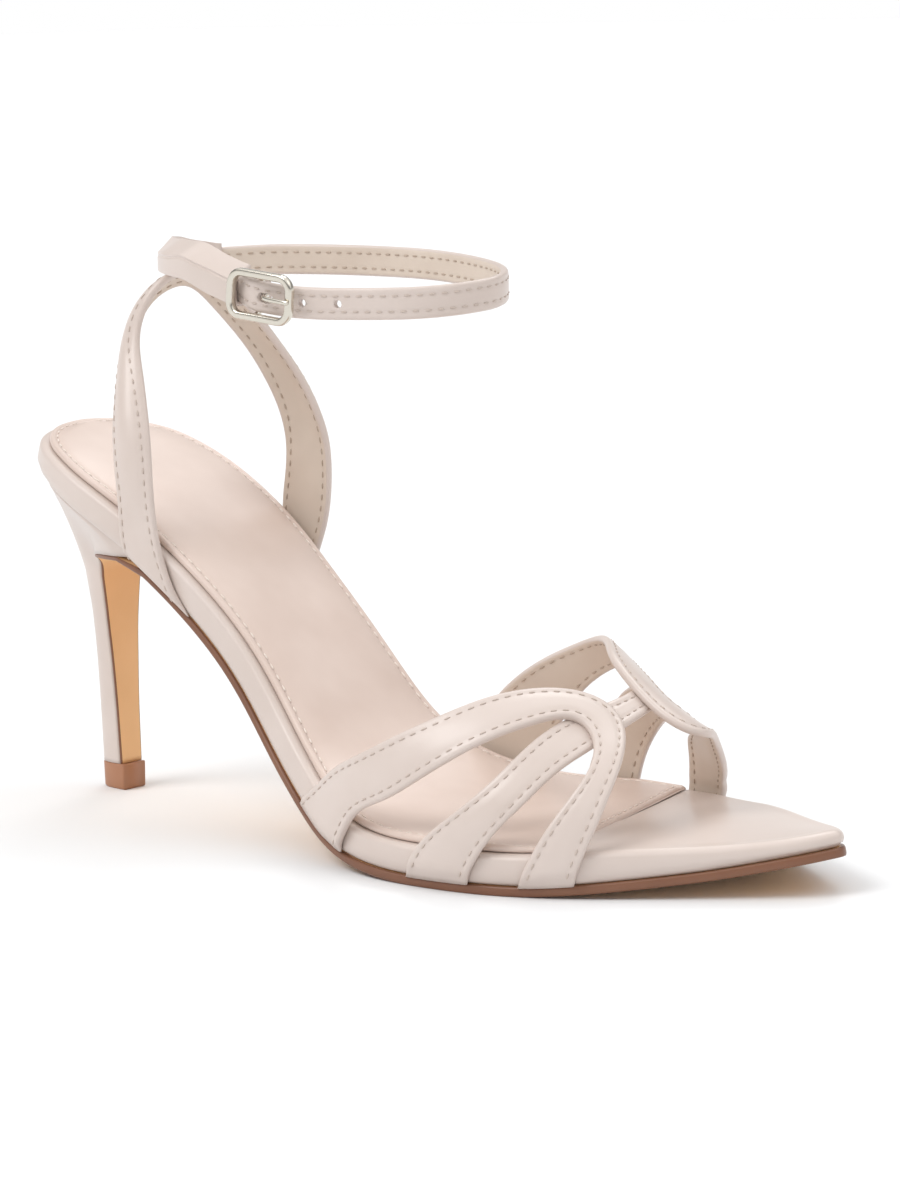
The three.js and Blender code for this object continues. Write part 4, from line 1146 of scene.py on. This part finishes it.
def sock_edge(along, inset, side):
    """A point beside the sock's edge in plan. Its rows slant more and more towards its front."""
    if side == MEDIAL:
        slanted = smooth((along - SOCK_SLANT_START) / (SOCK_END_LATERAL - SOCK_SLANT_START))
        along -= (SOCK_END_LATERAL - SOCK_END_MEDIAL) * slanted
    return edge(along, side, SOCK_MARGIN + inset)


def sock_ring(along):
    """The sock's section on one row: a rolled edge, a sewn channel and a soft crown, thinner at its front."""
    t = SOCK_THICKNESS
    turns = span(-1.2, 1.57, 7)
    profile = [(0.75 - 0.75 * math.cos(a), t / 2 + (t / 2 + 0.1) * math.sin(a)) for a in turns]
    profile += [(1.25, t), (SOCK_CHANNEL, t - 0.28), (2.05, t - 0.05), (3.2, t + 0.12)]
    left = SOCK_END_LATERAL - along
    thin = math.sqrt(max(1 - ((1.2 - left) / 1.2) ** 2, 0.0)) if left < 1.2 else 1
    thin = max(thin * sock_thinning(along), 0.12)
    dip = 0.3 * math.exp(-(((left - 1.7) / 0.35) ** 2))
    sides = []
    for side in (LATERAL, MEDIAL):
        ends = []
        for inset, h in profile:
            x, y = sock_edge(along, inset, side)
            height = 0.1 + (h - 0.1) * thin - (dip if inset > 1.9 else 0)
            ends.append(deck(x, y, footbed_top(x) + SOCK_BED + max(height, 0.05)))
        sides.append(ends)
    start, end = (sock_edge(along, profile[-1][0], side) for side in (LATERAL, MEDIAL))
    middle = []
    for s in span(0, 1, 20)[1:-1]:
        x, y = mix(start[0], end[0], s), mix(start[1], end[1], s)
        crown = SOCK_CROWN * smooth(left / 12) * (1 - (2 * s - 1) ** 4)
        middle.append(deck(x, y, footbed_top(x) + SOCK_BED + 0.1 + (t + 0.02) * thin + crown - dip))
    return sides[0] + middle + sides[1][::-1]


def sock_thinning(along):
    return mix(0.6, 1, smooth((SOCK_END_LATERAL - along) / 14))


def sock_stitch(x, y, height):
    """A stitch's place above the footbed and the way it faces."""
    up = (deck(x, y, 2) - deck(x, y, 1)).normalized()
    return deck(x, y, footbed_top(x) + height), up


def sock():
    """The padded sock and its stitches, beside both edges and along its front."""
    stations = [SOCK_END_LATERAL * (1 - math.cos(a)) / 2 for a in span(0, math.pi, 170)]
    piece = skin("padded_sock", [sock_ring(a) for a in stations], [sock_leather])
    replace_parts(piece, "insole")
    rows = []
    for side in (LATERAL, MEDIAL):
        row = []
        for along in span(0.5, SOCK_END_LATERAL - 2, 260):
            x, y = sock_edge(along, SOCK_CHANNEL, side)
            row.append(sock_stitch(x, y, SOCK_THICKNESS * sock_thinning(along)))
        rows.append(row)
    start, end = (sock_edge(SOCK_END_LATERAL - 1.7, 3.4, side) for side in (LATERAL, MEDIAL))
    height = 0.1 + 0.62 * SOCK_THICKNESS
    front = [(mix(start[0], end[0], s), mix(start[1], end[1], s)) for s in span(0, 1, 60)]
    rows.append([sock_stitch(x, y, height) for x, y in front])
    threads = stitches(
        "sock_stitches", rows, sock_thread, SOCK_STITCH_PITCH, SOCK_STITCH_LENGTH
    )
    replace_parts(threads, "insole")


heel_back = monotone(HEEL["up"], HEEL["back"])
heel_front = monotone(HEEL["up"], HEEL["front"])
heel_width = monotone(HEEL["up"], HEEL["width"])
HEEL_ARC = span(0, math.pi, 48)


def heel_section(share, arc=HEEL_ARC):
    """A level section of the heel's stem, from its outer front corner round the back. share is its height."""
    z = mix(TOP_PIECE_HEIGHT + 0.1, NECK_HEIGHT, share)
    front = TIP_FRONT * heel_front(share)
    length = front - TIP_BACK * heel_back(share)
    half = TIP_WIDTH / 2 * heel_width(share)
    points = []
    for angle in arc:
        across = -math.copysign(abs(math.cos(angle)) ** HEEL_SQUARENESS, math.cos(angle))
        points.append(Vector((front - length * max(math.sin(angle), 0) ** HEEL_SQUARENESS, half * across, z)))
    return points


def heel_flare(share):
    """The heel between its neck and its seat, which follows the footbed's lower edge. Its two front corners
    run straight up before they turn forward to the seat."""
    points = []
    for angle, neck in zip(HEEL_ARC, heel_section(1)):
        side = LATERAL if angle < math.pi / 2 else MEDIAL
        corner = (1 - math.sin(angle)) ** 4
        x = HEEL_SEAT_REACH * (1 - math.sin(angle))
        ex, ey = edge(x, side, lower_tuck(x) - 0.2 + 1.3 * smooth((share - 0.95) / 0.05))
        seat = deck(ex, ey, OUTSOLE_THICKNESS)
        across = mix(share ** mix(2.5, 0.9, math.sin(angle)), share**3.5, corner)
        point = neck.lerp(seat, across)
        point.x = mix(neck.x, seat.x, mix(across, 0.4 * across + 0.6 * share**12, corner))
        point.z = mix(neck.z, seat.z, share)
        points.append(point)
    return points


def heel():
    """The wrapped heel: one smooth stem that flares into its seat."""
    rings = [heel_section(s) for s in span(0, 1, 40)] + [heel_flare(s) for s in span(0, 0.94, 40)[1:]]
    rings += [heel_flare(s) for s in span(0.94, 1, 8)[1:]]
    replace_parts(skin("wrapped_heel", rings, [upper_leather]), "heel")


def outsole():
    """The leather sole with its waxed edge, and its flap down the front of the heel."""
    rings = []
    for x in reversed([x for x in sole_stations(170) if x > HEEL_SEAT_REACH + 3]):
        inset = lower_tuck(x) - 0.45 - 0.4 * smooth((x - 200) / 25)

        def sole_place(side, across, height):
            ex, ey = edge(x, side, inset + across)
            return deck(ex, ey, height)

        rings.append(sole_ring(sole_place, sole_thickness(x)))
    fronts = [heel_section(s) for s in span(0, 1, 30)] + [heel_flare(s) for s in span(0, 1, 24)[1:-1]]
    fronts = [(points[0], points[-1]) for points in reversed(fronts)]
    for i, ends in enumerate(fronts):
        before, after = fronts[max(i - 1, 0)][0], fronts[min(i + 1, len(fronts) - 1)][0]
        run = after - before
        run.y = 0
        run.normalize()
        away = Vector((-run.z, 0, run.x))
        thickness = mix(1.0, FLAP_THICKNESS, smooth(i / 6))

        def flap_place(side, across, height):
            across = min(across, 0.3)
            corner = ends[0] if side == LATERAL else ends[1]
            return corner - Vector((0, side * across, 0)) + away * (0.1 + thickness - height)

        rings.append(sole_ring(flap_place, thickness))
    columns = [1] * 6 + [0] + [1] * 6 + [0]
    piece = skin("leather_outsole", rings, [sole_face, sole_edge], columns)
    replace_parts(piece, "outsole")


def sole_ring(place, thickness):
    """The section of the leather sole: its face, an eased edge on each side and its hidden top."""
    profile = [(2.4, 0), (0.15, 0.02), (0.03, 0.2), (0, 0.5), (0.03, 0.8), (0.2, 1), (0.9, 1)]
    side = [(s, h * thickness) for s, h in profile]
    return [place(LATERAL, s, h) for s, h in side] + [place(MEDIAL, s, h) for s, h in reversed(side)]


def top_piece():
    """The moulded lift: a little wider than the heel's end, with its lower edge eased."""
    arc = span(0, math.pi, 40)
    plan = heel_section(0, arc)
    front = BREAST_COVER + FIT_GAP
    middle = Vector(((TIP_BACK + TIP_FRONT + front) / 2, 0, 0))
    rings = []
    height = TOP_PIECE_HEIGHT
    for z, grow in ((0, -0.35), (0.3, -0.05), (0.6, 0), (height - 0.3, 0.12), (height, 0)):
        points = []
        for p in plan:
            moved = Vector((p.x + front * smooth((p.x - TIP_BACK) / (TIP_FRONT - TIP_BACK)), p.y, 0))
            away = moved - middle
            points.append(moved + away.normalized() * grow + Vector((0, 0, z)))
        rings.append(points)
    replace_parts(skin("moulded_lift", rings, [tip_rubber]), "top_piece")


# Light, floor and camera

CAMERA_AZIMUTH = 41.1
CAMERA_ELEVATION = 8.7
CAMERA_ROLL = -1.37
CAMERA_DISTANCE = 898.0
CAMERA_TARGET = (121.8, 0.0, 53.9)
CAMERA_LENS = 121.77
FLOOR_HALF = 12.0

# Brightness of the room by height: white at the floor, a darker band, a bright ceiling
ROOM = ((0.16, 1.0), (0.28, 0.3), (0.5, 0.3), (0.68, 1.1))

# Large soft lamps: azimuth, elevation, strength and width in degrees
LAMPS = dict(key=(-25, 50, 1.2, 32), back=(205, 50, 0.4, 20), fill=(120, 42, 0.35, 50))


def direction(azimuth, elevation):
    """The way from the shoe to a place. Azimuth 0 is on its outer side and 90 in front of the toe."""
    a, e = math.radians(azimuth), math.radians(elevation)
    return Vector((math.sin(a) * math.cos(e), -math.cos(a) * math.cos(e), math.sin(e)))


def camera():
    back = direction(CAMERA_AZIMUTH, CAMERA_ELEVATION)
    right = direction(CAMERA_AZIMUTH + 90, 0)
    up = back.cross(right)
    roll = math.radians(CAMERA_ROLL)
    rolled_right = right * math.cos(roll) + up * math.sin(roll)
    rolled_up = up * math.cos(roll) - right * math.sin(roll)
    data = bpy.data.cameras.new("camera")
    data.lens = CAMERA_LENS
    data.clip_start = 0.01
    made = placed("camera", data)
    turn = Matrix((rolled_right, rolled_up, back)).transposed().to_4x4()
    made.matrix_world = Matrix.Translation(metres(Vector(CAMERA_TARGET) + back * CAMERA_DISTANCE)) @ turn
    bpy.context.scene.camera = made


def floor():
    corners = [(sx * FLOOR_HALF, sy * FLOOR_HALF, 0) for sx, sy in ((-1, -1), (1, -1), (1, 1), (-1, 1))]
    mesh = bpy.data.meshes.new("floor")
    mesh.from_pydata(corners, [], [(0, 1, 2, 3)])
    material, tree, shader = surface("pale_floor")
    shader.inputs["Base Color"].default_value = linear("#EDEEEF")
    shader.inputs["Roughness"].default_value = 0.6
    shader.inputs["Specular IOR Level"].default_value = 0.1
    mesh.materials.append(material)
    placed("floor", mesh)


def lamp(name, azimuth, elevation, strength, width):
    data = bpy.data.lights.new(name, "SUN")
    data.energy = strength
    data.angle = math.radians(width)
    made = placed(name, data)
    made.rotation_euler = direction(azimuth, elevation).to_track_quat("Z", "Y").to_euler()


def studio():
    """A white room with a darker band under its bright ceiling, and the lamps."""
    world = bpy.data.worlds.new("studio")
    world.use_nodes = True
    tree = world.node_tree
    height = node(tree, "ShaderNodeSeparateXYZ", links={"Vector": object_place(tree)}).outputs["Z"]
    light = colours(tree, height, [(value, (grey, grey, grey, 1)) for value, grey in ROOM])
    tree.links.new(light, tree.nodes["Background"].inputs["Color"])
    tree.nodes["Background"].inputs["Strength"].default_value = 1.0
    bpy.context.scene.world = world
    bpy.context.scene.view_settings.view_transform = "Standard"
    for name, place in LAMPS.items():
        lamp(name, *place)


camera()
floor()
studio()
outsole()
footbed()
sock()
heel()
top_piece()
forefoot_straps()
heel_straps()
ankle_strap()
buckle_axes = on_strap()
buckle_frame(buckle_axes)
buckle_pin(buckle_axes)
